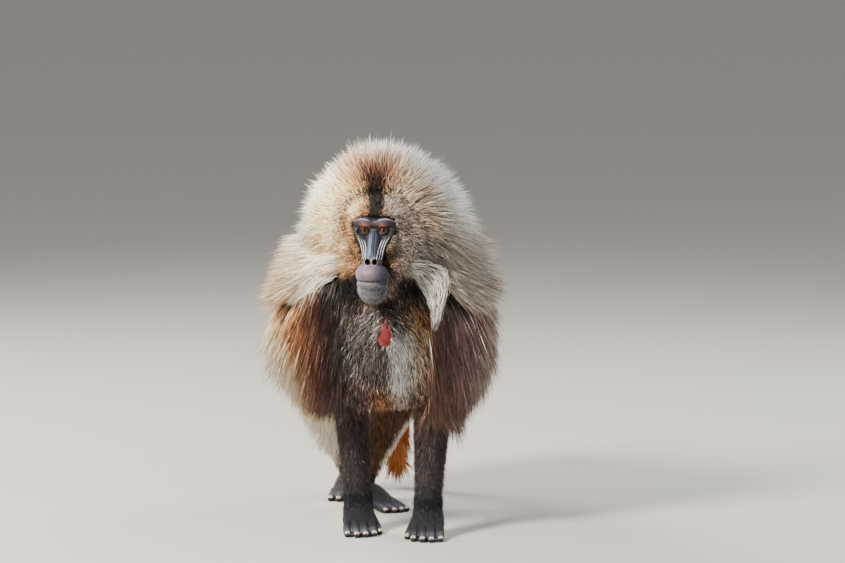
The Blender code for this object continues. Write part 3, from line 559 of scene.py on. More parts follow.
# Distance to the line of a limb, for what grows on it
armLines = {side: smoothPath(armStations(side), 6)[:, :3] for side in (-1, 1)}
legLines = {side: smoothPath(legStations(side), 6)[:, :3] for side in (-1, 1)}
tailLine = smoothPath(tail["path"], 8)[:, :3]


def lineDistance(spots, line):
    best = np.full(len(spots), 9.0)
    for a, b in zip(line, line[1:]):
        span = b - a
        t = np.clip((spots - a) @ span / (span @ span), 0, 1)
        best = np.minimum(best, np.linalg.norm(spots - (a + t[:, None] * span), axis=1))
    return best


def regions(spots):
    # a mask from 0 to 1 for each part of the body, at each spot
    x, y, z = spots.T
    near = {}
    arm = np.minimum(lineDistance(spots, armLines[-1]), lineDistance(spots, armLines[1]))
    near["arm"] = fade(0.262, 0.232, z) * fade(0.060, 0.044, arm) * (y < 0.115)
    near["arm"] = np.maximum(near["arm"], (z < 0.10) & (y < 0.10))
    right = lineDistance(spots, legLines[-1])
    left = lineDistance(spots, legLines[1])
    near["legRight"] = fade(0.105, 0.070, right) * (x < -0.02) * (y > 0.2) * fade(0.400, 0.330, z)
    near["legLeft"] = fade(0.100, 0.066, left) * (y > 0.12) * fade(0.380, 0.300, z)
    near["legLeft"] = near["legLeft"] * (x > -0.06) * (right > left)
    feet = (z < 0.12) & (y > 0.15)
    near["legRight"] = np.where(feet & (right < left), 1.0, near["legRight"])
    near["legLeft"] = np.where(feet & (left <= right), 1.0, near["legLeft"])
    tailNear = lineDistance(spots, tailLine) < 0.040
    near["tail"] = np.maximum((tailNear & (y > 0.500)).astype(float), fade(0.478, 0.500, y) * tailNear)
    aside = np.abs(x + 0.018)
    edge = 0.487 - 0.056 * fade(0.080, 0.150, aside) + 0.045 * fade(0.158, 0.190, aside)
    edge += 0.9 * np.maximum(0, y - 0.015)
    near["mane"] = fade(-0.007, 0.007, z - edge)
    near["chest"] = fade(0.083, 0.068, np.abs(x)) * fade(0.05, 0.01, y) * fade(0.495, 0.480, z)
    return near


# Colours of the coat, at a spot in space, on skin and hair alike
tones = {
    "faceRim": (44, 26, 22), "goldDark": (140, 98, 64), "gold": (204, 158, 110), "cheek": (62, 42, 32),
    "maneMid": (250, 208, 154), "shoulder": (118, 76, 48), "creamAndRimLight": (255, 238, 204),
    "maneShadeGrey": (176, 157, 140), "maneDeepShade": (116, 109, 107), "coolRimLight": (214, 220, 226),
    "stripe": (54, 29, 19), "stripeFoot": (18, 9, 7), "crownBrown": (146, 94, 64),
    "crownPaleAndRimLight": (240, 238, 214), "pocket": (12, 7, 8), "capeDark": (56, 38, 38),
    "capeRed": (114, 74, 54), "capeGold": (196, 130, 78), "capeLit": (255, 232, 188),
    "capeShadeGrey": (110, 86, 83), "capeRimLight": (150, 138, 124), "chest": (88, 82, 77),
    "chestPaleAndLit": (255, 252, 244), "chestBrown": (166, 116, 78), "line": (62, 38, 24),
    "underGold": (144, 92, 56), "throat": (76, 60, 52), "back": (104, 66, 42), "flank": (168, 124, 82),
    "paleHemAndLight": (240, 216, 178), "belly": (122, 86, 54), "thighPale": (255, 222, 166),
    "thighShade": (84, 54, 34), "shinPale": (244, 226, 202), "armDark": (52, 43, 44),
    "armBrown": (112, 82, 70), "paw": (12, 14, 21), "tailBrown": (132, 82, 46), "tuft": (158, 80, 34),
    "tuftTip": (206, 124, 62),
}
tones = {name: colour(*values) for name, values in tones.items()}


def coatColour(spots, near):
    # the colour half way along a hair at each spot, with the masks of where its root lies
    x, y, z = spots.T
    side = np.abs(x)

    def plain(name):
        return np.repeat(tones[name][None], len(spots), 0)

    # cape, from the dark front over red-brown and gold to the painted lit edge on its right, the side the
    # light falls on, and to painted shade in grey with a paler painted rim light on its left
    low = np.clip(0.33 - z, 0, 0.07)
    high = 0.020 * fade(0.36, 0.40, z)
    front = fade(0.03, -0.03, y)
    shade = plain("capeDark")
    shade = layered(shade, tones, [
        ("capeRed", fade(0.100, 0.152, -x)),
        ("capeGold", fade(0.138, 0.186, -x) * 0.85),
        ("capeLit", fade(0.178, 0.222, -x - high + 0.60 * low)),
        # painted shade in grey over the cape's left, and a painted rim light along its outer edge there
        ("capeShadeGrey", fade(0.090, 0.150, x)),
        ("capeRimLight", fade(0.178, 0.214, x + 0.45 * low) * 0.85),
        ("armBrown", fade(0.31, 0.26, z) * fade(0.150, 0.120, x) * (x > 0) * 0.7),
        # painted shadow that the mane casts on the top front of the cape
        ("pocket", front * fade(0.355, 0.435, z) * fade(0.150, 0.105, side)),
    ])
    # back and flanks
    behind = plain("back")
    behind = layered(behind, tones, [
        ("flank", fade(0.40, 0.31, z)),
        # the pale hem low on the back and flanks, partly its own colour and partly painted light, stronger
        # on the right where the light falls
        ("paleHemAndLight", fade(0.33, 0.27, z) * np.where(x < 0, 0.85, 0.55)),
        ("flank", fade(0.30, 0.46, y) * 0.7),
    ])
    shade = blend(shade, behind, fade(0.05, 0.19, y))
    under = fade(0.03, 0.10, y) * fade(0.300, 0.255, z) * fade(0.13, 0.10, side)
    shade = blend(shade, tones["belly"], under)
    # chest
    sway = 0.003 + 0.0035 * np.sin(z * 95.0)
    crease = fade(0.010 + 0.12 * np.maximum(0, 0.30 - z), 0.000, np.abs(x + sway))
    onArm = fade(0.050, 0.028, np.abs(x - 0.008 - np.sign(x - 0.008) * 0.072)) * fade(0.305, 0.262, z)
    pale = plain("chest")
    pale = layered(pale, tones, [
        # pale grizzled hair on the chest's left, partly its own colour and partly painted light where the
        # sun falls on it
        ("chestPaleAndLit", fade(0.006, 0.018, x) * fade(0.375, 0.345, z)),
        ("chestBrown", fade(0.036, 0.062, x) * 0.9),
        ("throat", fade(0.385, 0.420, z) * 0.85),
        # painted shadow that the mane casts on the top of the chest, either side of its middle
        ("pocket", fade(0.405, 0.440, z) * fade(0.028, 0.044, side)),
        ("line", crease * fade(0.352, 0.335, z) * 0.55),
        ("underGold", fade(0.272, 0.245, z) * fade(0.056, 0.030, np.abs(x - 0.010)) * 0.8),
        ("armBrown", onArm * 0.45),
        ("armDark", onArm * fade(0.272, 0.245, z) * 0.8),
    ])
    shade = blend(shade, pale, near["chest"])
    # legs, arms and tail
    pale = blend(plain("thighPale"), tones["shinPale"], fade(0.20, 0.12, z))
    line = legLines[-1]
    rear = fade(0.004, 0.034, y - np.interp(z, line[::-1, 2], line[::-1, 1]))
    shade = blend(shade, blend(pale, tones["flank"], rear * 0.8), near["legRight"])
    line = legLines[1]
    middle = np.stack([np.interp(z, line[::-1, 2], line[::-1, k]) for k in (0, 1)], -1)
    inner = fade(0.000, 0.016, (x - middle[:, 0]) * 0.8 + (y - middle[:, 1]) * 0.5)
    # painted shade: the left leg, tucked under the belly, drawn dark, with paler hair along its inner edge
    dark = blend(plain("thighShade"), tones["shinPale"], inner * fade(0.24, 0.19, z))
    dark = blend(dark, tones["flank"], fade(0.004, 0.026, y - middle[:, 1]) * 0.8)
    shade = blend(shade, blend(dark, tones["flank"], fade(0.20, 0.28, z) * 0.6), near["legLeft"])
    dark = blend(plain("armDark"), tones["armBrown"], fade(0.15, 0.25, z) * np.where(x > 0, 0.85, 0.4))
    shade = blend(shade, blend(dark, tones["paw"], fade(0.100, 0.060, z)), near["arm"])
    shade = blend(shade, tones["paw"], fade(0.075, 0.050, z) * (y < 0.5) * 0.85)
    pale = blend(plain("tailBrown"), tones["tuft"], fade(0.145, 0.115, z))
    shade = blend(shade, blend(pale, tones["tuftTip"], fade(0.11, 0.06, z) * 0.7), near["tail"])
    # mane: gold round the face, paler outwards and paler still at its outer edge as painted rim light,
    # painted shade in grey on its left, and the dark stripe on the crown
    dx, dz = x + 0.018, z - 0.545
    away = np.hypot(dx, dz * 0.92)
    edge = np.maximum(faceEdge(toFace(spots)), 0) * (y < -0.02) + 40 * (y >= -0.02)
    cheek = fade(0.076, 0.046, -dx) * fade(0.030, -0.010, dx) * fade(-0.008, -0.034, dz)
    lower = fade(-0.004, -0.040, dz) * fade(0.126, 0.086, away) * fade(0.0, 0.02, -dx)
    # the mane's left side, away from the light, where painted shade turns it grey
    grey = fade(0.010, 0.050, dx + 0.25 * dz)
    crown = fade(0.026, 0.036, dz) * fade(0.174, 0.148, dz)
    fromLine = np.abs(dx - 0.002)
    brown = fade(0.092, 0.030, np.abs(dx + 0.010)) * fade(0.070, 0.106, dz) * 0.88
    wide = 0.0125 + 0.185 * np.maximum(dz - 0.040, 0)
    narrow = 0.011 + 0.11 * np.maximum(dz - 0.040, 0)
    mane = plain("faceRim")
    mane = layered(mane, tones, [
        ("goldDark", fade(2.0, 10.0, edge)),
        ("gold", fade(18.0, 42.0, edge)),
        ("maneMid", fade(0.056, 0.100, away - 0.020 * fade(0.0, -0.04, dz))),
        # the mane's own paler outer hair, made paler still as painted rim light round its outer edge
        ("creamAndRimLight", fade(0.104, 0.140, away)),
        # painted shade: dark brown in the mane beside the muzzle, below the cheek
        ("cheek", cheek * fade(-0.085, -0.070, dz) * 0.9),
        ("goldDark", lower * 0.72),
        # painted shade in grey and dark grey on the mane's left, with a pale cool painted rim light at its
        # outer edge
        ("maneShadeGrey", grey * fade(0.165, 0.130, away) * fade(1, 12, edge) * 0.88),
        ("coolRimLight", grey * fade(0.135, 0.165, away) * fade(-0.02, 0.05, dz) * 0.8),
        ("maneDeepShade", grey * fade(0.070, 0.100, away) * fade(0.035, -0.015, dz) * 0.75),
        ("shoulder", fade(0.118, 0.160, -dx) * fade(0.010, -0.045, dz) * 0.70),
        ("crownBrown", crown * brown),
        ("stripe", crown * fade(wide * 1.25, wide * 0.75, fromLine) * fade(0.152, 0.118, dz)),
        ("stripeFoot", crown * fade(narrow * 1.2, narrow * 0.6, fromLine) * fade(0.125, 0.085, dz)),
        # pale hair at the top of the crown, partly its own colour and partly painted rim light
        ("crownPaleAndRimLight", fade(0.150, 0.172, dz) * 0.85),
        ("flank", fade(0.020, 0.080, y) * 0.7),
        ("back", fade(0.060, 0.115, y) * 0.8),
    ])
    return blend(shade, mane, near["mane"])


# Colours of the bare face
faceTones = {
    "base": (27, 24, 31), "brow": (26, 24, 31), "browHighlight": (126, 114, 134), "socket": (8, 5, 7),
    "upperLid": (140, 78, 68), "lowerLid": (128, 82, 88), "lidEdge": (8, 4, 4), "bridge": (32, 41, 59),
    "bridgeHighlight": (120, 134, 156), "muzzle": (92, 78, 87), "muzzleShade": (20, 28, 48),
    "lip": (78, 68, 80), "mouth": (7, 5, 7), "chin": (64, 62, 68), "nostril": (2, 1, 1),
    "rim": (138, 112, 122), "temple": (9, 6, 6), "patch": (88, 0, 4), "patchEdge": (160, 50, 54),
    "paw": (11, 12, 17), "knuckleHighlight": (104, 110, 124), "seat": (120, 96, 100),
}
faceTones = {name: colour(*values) for name, values in faceTones.items()}


def skinColour(spots, face):
    # the colour of the skin, and how bare it is. The face is in millimetres, the rest in metres
    x, y, z = face.T
    side = np.abs(x)
    tone = np.repeat(faceTones["base"][None], len(spots), 0)
    # painted highlight: a pale lilac arc along the edge of each brow ridge
    arc = 11.0 + 9.0 * np.sqrt(np.clip(1 - ((side - 20) / 17) ** 2, 0, 1))
    onBrowHighlight = fade(2.0, 0.3, np.abs(z - arc)) * fade(5, 13, side) * fade(38, 33, side)
    eye = np.hypot((side - head["eyeApart"] - 2.5) / 1.3, z + 1)
    under = np.hypot((side - 16.5) / 11.5, (z - 8.0) / 6.5)
    lidShape = np.hypot((side - head["eyeApart"] + 1.2) / 9.6, (z - 1.4) / 9.0)
    lid = fade(1.05, 0.86, lidShape)
    slit = np.hypot((side - head["eyeApart"] - 1.2) / 11.0, (z - 0.3) / 5.6)
    nostril = np.hypot(side - 6.0, (z + 52.5) / 1.15)
    onNose = fade(-30, -36, y)
    mouthLine = -87 + 4 * (1 - np.sqrt(np.clip(1 - (x / 31) ** 2, 0, 1)))
    tone = layered(tone, faceTones, [
        ("bridge", fade(17, 9, side) * fade(2, -10, z) * fade(-58, -46, z)),
        ("brow", fade(6, 12, z)),
        ("browHighlight", onBrowHighlight * 0.8),
        ("muzzle", fade(-46, -60, z)),
        ("lip", fade(-78, -86, z) * 0.5),
        ("chin", fade(-88, -93, z)),
        ("muzzleShade", fade(-4, 22, x) * fade(-46, -60, z) * 0.9),
        # painted light: the muzzle and chin paler on their right, the side the light falls on
        ("rim", fade(-14, -25, x) * fade(-62, -76, z) * fade(-126, -100, z) * 0.35),
        # painted shade in the hollows beside the bridge
        ("socket", np.exp(-((side - 13) / 4.5) ** 2) * fade(2, -10, z) * fade(-40, -22, z) * 0.8),
        # painted highlight along the ridge of the bridge
        ("bridgeHighlight", np.exp(-((x + 4.5) / 2.2) ** 2) * fade(-4, -16, z) * fade(-50, -40, z) * 0.8),
        # painted shade in the groove down the bridge's middle and round each eye
        ("socket", np.exp(-((x - 1.2) / 1.4) ** 2) * fade(4, -6, z) * fade(-44, -30, z) * 0.85),
        ("socket", fade(15.0, 10.0, eye) * fade(5, 12, side) * 0.95),
        # orange-brown skin between brow and lid, stronger on the right as painted light where the light
        # falls
        ("upperLid", fade(1.25, 0.15, under) * np.where(x < 0, 0.75, 0.55)),
        ("upperLid", lid * fade(1.0, 3.2, z) * fade(29, 20, side)),
        ("lowerLid", lid * fade(-2.6, -4.6, z) * fade(24, 18, side) * 0.85),
        ("lidEdge", fade(1.16, 0.98, slit)),
        # the pink rims of the nostrils, in the same tone
        ("rim", fade(7.6, 5.8, nostril) * onNose * 0.55),
        ("nostril", fade(5.4, 4.6, nostril) * fade(-20, -30, y)),
        ("mouth", fade(2.0, 0.8, np.abs(z - mouthLine)) * fade(33, 29, side) * (y < -18)),
    ])
    outside = faceEdge(face)
    tone = blend(tone, faceTones["temple"], fade(-10, -2, outside) * fade(-58, -42, z) * fade(16, 8, z))
    onHead = fade(3, -1, outside)
    # painted shade: under the coat the skin takes the coat's colour darkened, so the gaps between hairs look
    # shaded
    shadedFur = coatColour(spots, regions(spots)) * 0.42
    tone = blend(shadedFur, tone, onHead)
    drop = patchField(spots)
    tone = layered(tone, faceTones, [
        ("patchEdge", fade(1.22, 1.02, drop)),
        ("patch", fade(1.04, 0.90, drop)),
        ("paw", fade(0.068, 0.050, spots[:, 2])),
        # painted highlight on the upward faces of the fingers and toes near the floor
        ("knuckleHighlight", fade(0.020, 0.010, spots[:, 2]) * fade(0.40, 0.90, skinNormals[:, 2]) * 0.28),
    ])
    seat = np.hypot(np.abs(spots[:, 0]) - 0.030, (spots[:, 2] - 0.345) / 1.3)
    onSeat = fade(0.026, 0.020, seat) * (spots[:, 1] > 0.45) * (spots[:, 1] < 0.53)
    tone = blend(tone, faceTones["seat"], onSeat)
    bare = np.maximum.reduce([onHead, fade(1.15, 1.0, drop), onSeat, fade(0.012, 0.007, spots[:, 2])])
    return tone, bare


face = toFace(skinSpots)
foldPhase, foldMask = foldLines(face)
tone, bare = skinColour(skinSpots, face)
giveColour(skin, "tone", tone)
giveValue(skin, "bare", bare)
giveValue(skin, "foldPhase", foldPhase)
giveValue(skin, "foldMask", foldMask)
print("markings done")


# Materials
def nodeGroup(name, inputs, outputs):
    group = bpy.data.node_groups.new(name, "ShaderNodeTree")
    for label, kind, value in inputs:
        socket = group.interface.new_socket(label, in_out="INPUT", socket_type=kind)
        if value is not None:
            socket.default_value = value
    for label, kind in outputs:
        group.interface.new_socket(label, in_out="OUTPUT", socket_type=kind)
    return group, group.nodes.new("NodeGroupInput"), group.nodes.new("NodeGroupOutput")


def mixColours(tree, mode, first, second, factor):
    mix = tree.nodes.new("ShaderNodeMix")
    mix.data_type = "RGBA"
    mix.blend_type = mode
    for socket, value in ((mix.inputs[0], factor), (mix.inputs[6], first), (mix.inputs[7], second)):
        if isinstance(value, bpy.types.NodeSocket):
            tree.links.new(value, socket)
        elif isinstance(value, (int, float)):
            socket.default_value = value
        else:
            socket.default_value = (*value, 1)
    return mix.outputs[2]


def calculate(tree, operation, *values, clamp=False):
    node = tree.nodes.new("ShaderNodeMath")
    node.operation = operation
    node.use_clamp = clamp
    for socket, value in zip(node.inputs, values):
        if isinstance(value, bpy.types.NodeSocket):
            tree.links.new(value, socket)
        else:
            socket.default_value = value
    return node.outputs[0]


def noise(tree, vector, scale, detail=3.0, roughness=0.55):
    node = tree.nodes.new("ShaderNodeTexNoise")
    node.inputs["Detail"].default_value = detail
    node.inputs["Roughness"].default_value = roughness
    tree.links.new(vector, node.inputs["Vector"])
    if isinstance(scale, bpy.types.NodeSocket):
        tree.links.new(scale, node.inputs["Scale"])
    else:
        node.inputs["Scale"].default_value = scale
    return node.outputs["Fac"]


def mottleGroup():
    # a colour made lighter and darker in soft blots and fine grain
    group, given, made = nodeGroup(
        "mottle",
        [
            ("Colour", "NodeSocketColor", None),
            ("Vector", "NodeSocketVector", None),
            ("Blot Scale", "NodeSocketFloat", 60.0),
            ("Grain Scale", "NodeSocketFloat", 900.0),
            ("Amount", "NodeSocketFloat", 0.5),
        ],
        [("Colour", "NodeSocketColor"), ("Grain", "NodeSocketFloat")],
    )
    blots = noise(group, given.outputs["Vector"], given.outputs["Blot Scale"])
    grain = noise(group, given.outputs["Vector"], given.outputs["Grain Scale"], 2.0)
    blots = calculate(group, "MULTIPLY", blots, 0.6)
    both = calculate(group, "ADD", blots, calculate(group, "MULTIPLY", grain, 0.4))
    swing = calculate(group, "MULTIPLY", calculate(group, "SUBTRACT", both, 0.5), given.outputs["Amount"])
    gain = calculate(group, "ADD", calculate(group, "MULTIPLY", swing, 2.4), 1.0)
    grey = group.nodes.new("ShaderNodeCombineColor")
    for k in range(3):
        group.links.new(gain, grey.inputs[k])
    shaded = mixColours(group, "MULTIPLY", given.outputs["Colour"], grey.outputs[0], 1.0)
    group.links.new(shaded, made.inputs["Colour"])
    group.links.new(grain, made.inputs["Grain"])
    return group


mottle = mottleGroup()


def startMaterial(name, roughness, specular):
    material = bpy.data.materials.new(name)
    material.use_nodes = True
    tree = material.node_tree
    shader = tree.nodes["Principled BSDF"]
    shader.inputs["Roughness"].default_value = roughness
    shader.inputs["Specular IOR Level"].default_value = specular
    coordinates = tree.nodes.new("ShaderNodeTexCoord").outputs["Object"]
    return material, tree, shader, coordinates


def attributeOf(tree, name):
    node = tree.nodes.new("ShaderNodeAttribute")
    node.attribute_name = name
    return node


def addGroup(tree, group, **values):
    node = tree.nodes.new("ShaderNodeGroup")
    node.node_tree = group
    for name, value in values.items():
        socket = node.inputs[name.replace("_", " ")]
        if isinstance(value, bpy.types.NodeSocket):
            tree.links.new(value, socket)
        else:
            socket.default_value = value
    return node


def skinMaterial():
    # the folds beside the nose have a painted highlight on their crests and painted shade in their troughs,
    # and bare skin shines more than furred skin
    material, tree, shader, coordinates = startMaterial("bareSkin", 0.5, 0.45)
    tone = attributeOf(tree, "tone").outputs["Color"]
    bare = attributeOf(tree, "bare").outputs["Fac"]
    phase = attributeOf(tree, "foldPhase").outputs["Fac"]
    mask = attributeOf(tree, "foldMask").outputs["Fac"]
    wave = calculate(tree, "COSINE", calculate(tree, "MULTIPLY", phase, 2 * math.pi))
    crest = calculate(tree, "MULTIPLY", calculate(tree, "MULTIPLY_ADD", wave, 0.5, 0.5), mask)
    trough = calculate(tree, "MULTIPLY", calculate(tree, "MULTIPLY_ADD", wave, -0.5, 0.5), mask)
    crestHighlight = calculate(tree, "POWER", crest, 5.0, clamp=True)
    lit = mixColours(tree, "MIX", tone, tuple(colour(196, 200, 212)), crestHighlight)
    deep = calculate(tree, "MULTIPLY", trough, 1.5, clamp=True)
    dark = mixColours(tree, "MIX", lit, tuple(colour(10, 9, 14)), deep)
    skinGrain = addGroup(tree, mottle, Colour=dark, Vector=coordinates,
                         Blot_Scale=110.0, Grain_Scale=900.0, Amount=0.95)
    tree.links.new(skinGrain.outputs["Colour"], shader.inputs["Base Color"])
    pores = noise(tree, coordinates, 1500.0, 4.0)
    creases = tree.nodes.new("ShaderNodeTexVoronoi")
    creases.inputs["Scale"].default_value = 420.0
    tree.links.new(coordinates, creases.inputs["Vector"])
    creased = calculate(tree, "MULTIPLY", creases.outputs["Distance"], 0.5)
    height = calculate(tree, "ADD", calculate(tree, "MULTIPLY", pores, 0.5), creased)
    height = calculate(tree, "ADD", height, calculate(tree, "MULTIPLY", crest, 2.5))
    bump = tree.nodes.new("ShaderNodeBump")
    bump.inputs["Strength"].default_value = 0.55
    bump.inputs["Distance"].default_value = 0.0006
    tree.links.new(height, bump.inputs["Height"])
    tree.links.new(bump.outputs["Normal"], shader.inputs["Normal"])
    rough = calculate(tree, "MULTIPLY_ADD", bare, -0.26, 0.86)
    rough = calculate(tree, "MULTIPLY_ADD", skinGrain.outputs["Grain"], 0.12, rough)
    tree.links.new(rough, shader.inputs["Roughness"])
    return material


def coatMaterial(name, roughness, grain):
    material, tree, shader, coordinates = startMaterial(name, roughness, 0.30)
    tone = attributeOf(tree, "coatTone").outputs["Color"]
    streak = addGroup(tree, mottle, Colour=tone, Vector=coordinates,
                      Blot_Scale=grain, Grain_Scale=520.0, Amount=0.45)
    tree.links.new(streak.outputs["Colour"], shader.inputs["Base Color"])
    rough = calculate(tree, "MULTIPLY_ADD", streak.outputs["Grain"], 0.20, roughness - 0.10)
    tree.links.new(rough, shader.inputs["Roughness"])
    return material


skin.data.materials.clear()
skin.data.materials.append(skinMaterial())
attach(skin, "root")
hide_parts(*[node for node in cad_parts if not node.startswith("eye_")])

# The coat
corners = skinSpots[skinFaces]
crossed = np.cross(corners[:, 1] - corners[:, 0], corners[:, 2] - corners[:, 0])
faceArea = np.linalg.norm(crossed, axis=1) / 2
faceMiddle = corners.mean(axis=1)
faceNormal = unit(crossed)
faceBare = bare[skinFaces].mean(axis=1)
faceNear = regions(faceMiddle)
faceLocal = toFace(faceMiddle)
faceOutside = faceEdge(faceLocal)
skinTree = BVHTree.FromPolygons(skinSpots.tolist(), skinFaces.tolist())
furFree = np.where(faceBare > 0.5, 0.0, 1.0)
up = np.array([0.0, 0.0, 1.0])
faceAxis = np.array([-0.018, 0.0, 0.540])


def scatter(weight, count, draw):
    # roots spread by area and weight, with the normal of the skin there
    chance = faceArea * weight
    chosen = draw.choice(len(chance), size=count, p=chance / chance.sum())
    a, b = np.sqrt(draw.random(count)), draw.random(count)
    share = np.stack([1 - a, a * (1 - b), a * b], -1)
    spots = np.einsum("nk,nkc->nc", share, skinSpots[skinFaces[chosen]])
    outs = unit(np.einsum("nk,nkc->nc", share, skinNormals[skinFaces[chosen]]))
    return spots, outs


def rowsOf(x, y, z):
    # one row x, y, z for each spot, where a plain number holds for them all
    return np.stack(np.broadcast_arrays(x, y, z), -1)


def maneFlow(spots):
    # away from the face all round, up on the crown, drooping at the sides, and back over the nape
    x, y = spots[:, 0], spots[:, 1]
    ray = unit((spots - faceAxis) * np.array([1, 0, 1]))
    backward = 0.15 + 0.85 * fade(-0.09, 0.04, y)
    flow = rowsOf(ray[:, 0], backward, ray[:, 2] - 0.55 * (1 - np.maximum(ray[:, 2], 0)))
    return blend(flow, rowsOf(x * 3, 1.0, -0.6), fade(0.02, 0.08, y))


def nearFlow(spots):
    # the fur round the face stands forward, so that its tips are what is seen
    ray = unit((spots - faceAxis) * np.array([1, 0, 1]))
    return ray * 0.40 + np.array([0, -1.0, -0.06])


def capeFlow(spots):
    # down, spreading round the trunk, and outwards at the hem
    rel = unit((spots - np.array([0, 0.055, 0])) * np.array([1, 1, 0]))
    behind = np.maximum(0, rel[:, 1])
    splay = 0.45 * np.sign(rel[:, 0]) * fade(0.33, 0.26, spots[:, 2]) * (spots[:, 1] < 0.06)
    out = 0.22 * rel[:, 0] + splay
    return rowsOf(out, 0.45 * behind, -1.0)


def chestFlow(spots):
    return rowsOf(spots[:, 0] * 2.5, -0.1, -1.0)


def backFlow(spots):
    # back along the trunk and down its sides
    lean = unit((spots - np.array([0, 0, 0.385])) * np.array([1, 0, 1]))
    wide = np.abs(lean[:, 0])
    return rowsOf(lean[:, 0] * 0.4, 1.0, -0.15 - 0.95 * wide - 0.6 * (lean[:, 2] < -0.3))


def legFlow(spots):
    return rowsOf(spots[:, 0] * 0.5, 0.35, -1.0)


def tailFlow(spots):
    near = np.argmin(np.linalg.norm(spots[:, None] - tailLine[None, 1:], axis=2), axis=1)
    return tailLine[near + 1] - tailLine[near] + np.array([0, 0, -0.002])


def flowAt(spots):
    near = regions(spots)
    flow = blend(unit(capeFlow(spots)), unit(backFlow(spots)), fade(0.12, 0.20, spots[:, 1]))
    chest = fade(0.095, 0.065, np.abs(spots[:, 0])) * fade(0.04, 0.0, spots[:, 1])
    flow = blend(flow, unit(chestFlow(spots)), chest)
    ways = {"mane": maneFlow, "legRight": legFlow, "legLeft": legFlow, "arm": legFlow, "tail": tailFlow}
    for name, way in ways.items():
        flow = blend(flow, unit(way(spots)), near[name])
    return unit(flow)


# What the hairs of every coat share. A pair is the least and the most of a share drawn for each one
hairs = {
    "quick": 0.35,
    "guideLength": (0.85, 1.12),
    "guideLift": (0.35, 1.0),
    "above": 0.0015,          # of a guide over the skin, before its lift
    "pull": 0.35,             # of what a guide stands too high, taken back at each step
    "length": (0.70, 1.10),
    "width": (0.65, 1.3),
    "darkHair": 0.16,         # brightness of a grizzled hair
    "tipGain": 2.0,           # brightness of a pale tip
    "warmth": 0.05,
    "lowest": 0.0012,         # over the floor
    "atOnce": 2000,
}


def layGuides(piece, spots, outs, draw):
    # a guide starts between the lie of the coat and the normal, droops and is kept at its height
    steps = piece["steps"]
    length = piece["length"](spots) * draw.uniform(*hairs["guideLength"], len(spots))
    stand, lift, droop = piece["stand"](spots), piece["lift"](spots), piece["droop"]
    lift = lift * draw.uniform(*hairs["guideLift"], len(spots))
    flow = piece["flow"](spots)
    flow = unit(flow + draw.normal(0, piece["stray"], flow.shape))
    along = unit(flow - outs * np.einsum("ij,ij->i", flow, outs)[:, None])
    heading = unit(along * (1 - stand)[:, None] + outs * stand[:, None])
    path = [spots.copy()]
    for step in range(1, steps + 1):
        share = step / steps
        heading = unit(heading - up * droop / steps)
        spot = path[-1] + heading * (length / steps)[:, None]
        wanted = hairs["above"] + lift * share
        for k in range(len(spot)):
            near, out, _, _ = skinTree.find_nearest(Vector(spot[k]))
            height = (spot[k] - near) @ np.array(out)
            if height < wanted[k]:
                spot[k] += np.array(out) * (wanted[k] - height)
            elif out.z > -0.3:
                spot[k] -= np.array(out) * (height - wanted[k]) * hairs["pull"] * (1 - stand[k])
        heading = unit(spot - path[-1])
        path.append(spot)
    return np.stack(path, axis=1), length


def unwrap(spots, way):
    # where a root lies on the skin laid flat: angle round the body's own axis, and distance along it
    x, y, z = spots.T
    if way == "dome":
        ray = unit(spots - np.array([0, 0.03, 0.52]))
        turn, v = np.arctan2(ray[:, 2], ray[:, 0]), np.arccos(np.clip(-ray[:, 1], -1, 1)) / math.pi
    elif way == "trunk":
        turn, v = np.arctan2(x, z - 0.37), (y + 0.15) / 0.75
    else:
        turn, v = np.arctan2(x * 0.8, y - 0.05), z / 0.6
    return np.clip(np.stack([turn / (2 * math.pi) + 0.5, v], -1), 0.004, 0.996)


def strandMesh(spines, outs, width):
    # three-sided strands: a closed root, rings that narrow along the spine, and a point
    count, rings = spines.shape[0], spines.shape[1] - 1
    share = np.linspace(0, 1, rings + 1)
    ahead = unit(np.gradient(spines, axis=1))
    out = unit(outs[:, None] - ahead * np.einsum("nkc,nc->nk", ahead, outs)[:, :, None])
    across = np.cross(ahead, out)
    taper = np.interp(share[:-1], [0, 0.35, 0.8, 1], [0.85, 1.0, 0.6, 0.2])
    half = (width[:, None] * taper)[:, :, None] / 2
    spread, rise = across[:, :-1] * half, out[:, :-1] * half * 0.7
    middle = spines[:, :-1]
    hoops = np.stack([middle + spread - rise, middle + rise, middle - spread - rise], axis=2)
    each = rings * 3 + 1
    spots = np.concatenate([hoops.reshape(count, -1, 3), spines[:, -1:]], axis=1)
    pattern = [(0, 1, 2)]
    for r in range(rings - 1):
        for k in range(3):
            a, b = 3 * r + k, 3 * r + (k + 1) % 3
            pattern += [(a, a + 3, b + 3), (a, b + 3, b)]
    pattern += [(each - 4 + k, each - 1, each - 4 + (k + 1) % 3) for k in range(3)]
    faces = (np.array(pattern)[None] + (np.arange(count) * each)[:, None, None]).reshape(-1, 3)
    return spots.reshape(-1, 3), faces, each, np.append(np.repeat(share[:-1], 3), 1.0)


def bakeLayer(piece, place, where, faces):
    # every strand has a patch of its own at its root's place
    across = np.append(np.tile([0.0, 0.5, 1.0], len(where) // 3), 0.5)
    patchAt = np.stack([across, where], -1) * 0.003 - 0.0015
    uv = (place[:, None] + patchAt[None]).reshape(-1, 2)
    layer = piece.data.uv_layers.new(name="OFBake")
    layer.data.foreach_set("uv", uv[faces.ravel()].astype(np.float32).ravel())


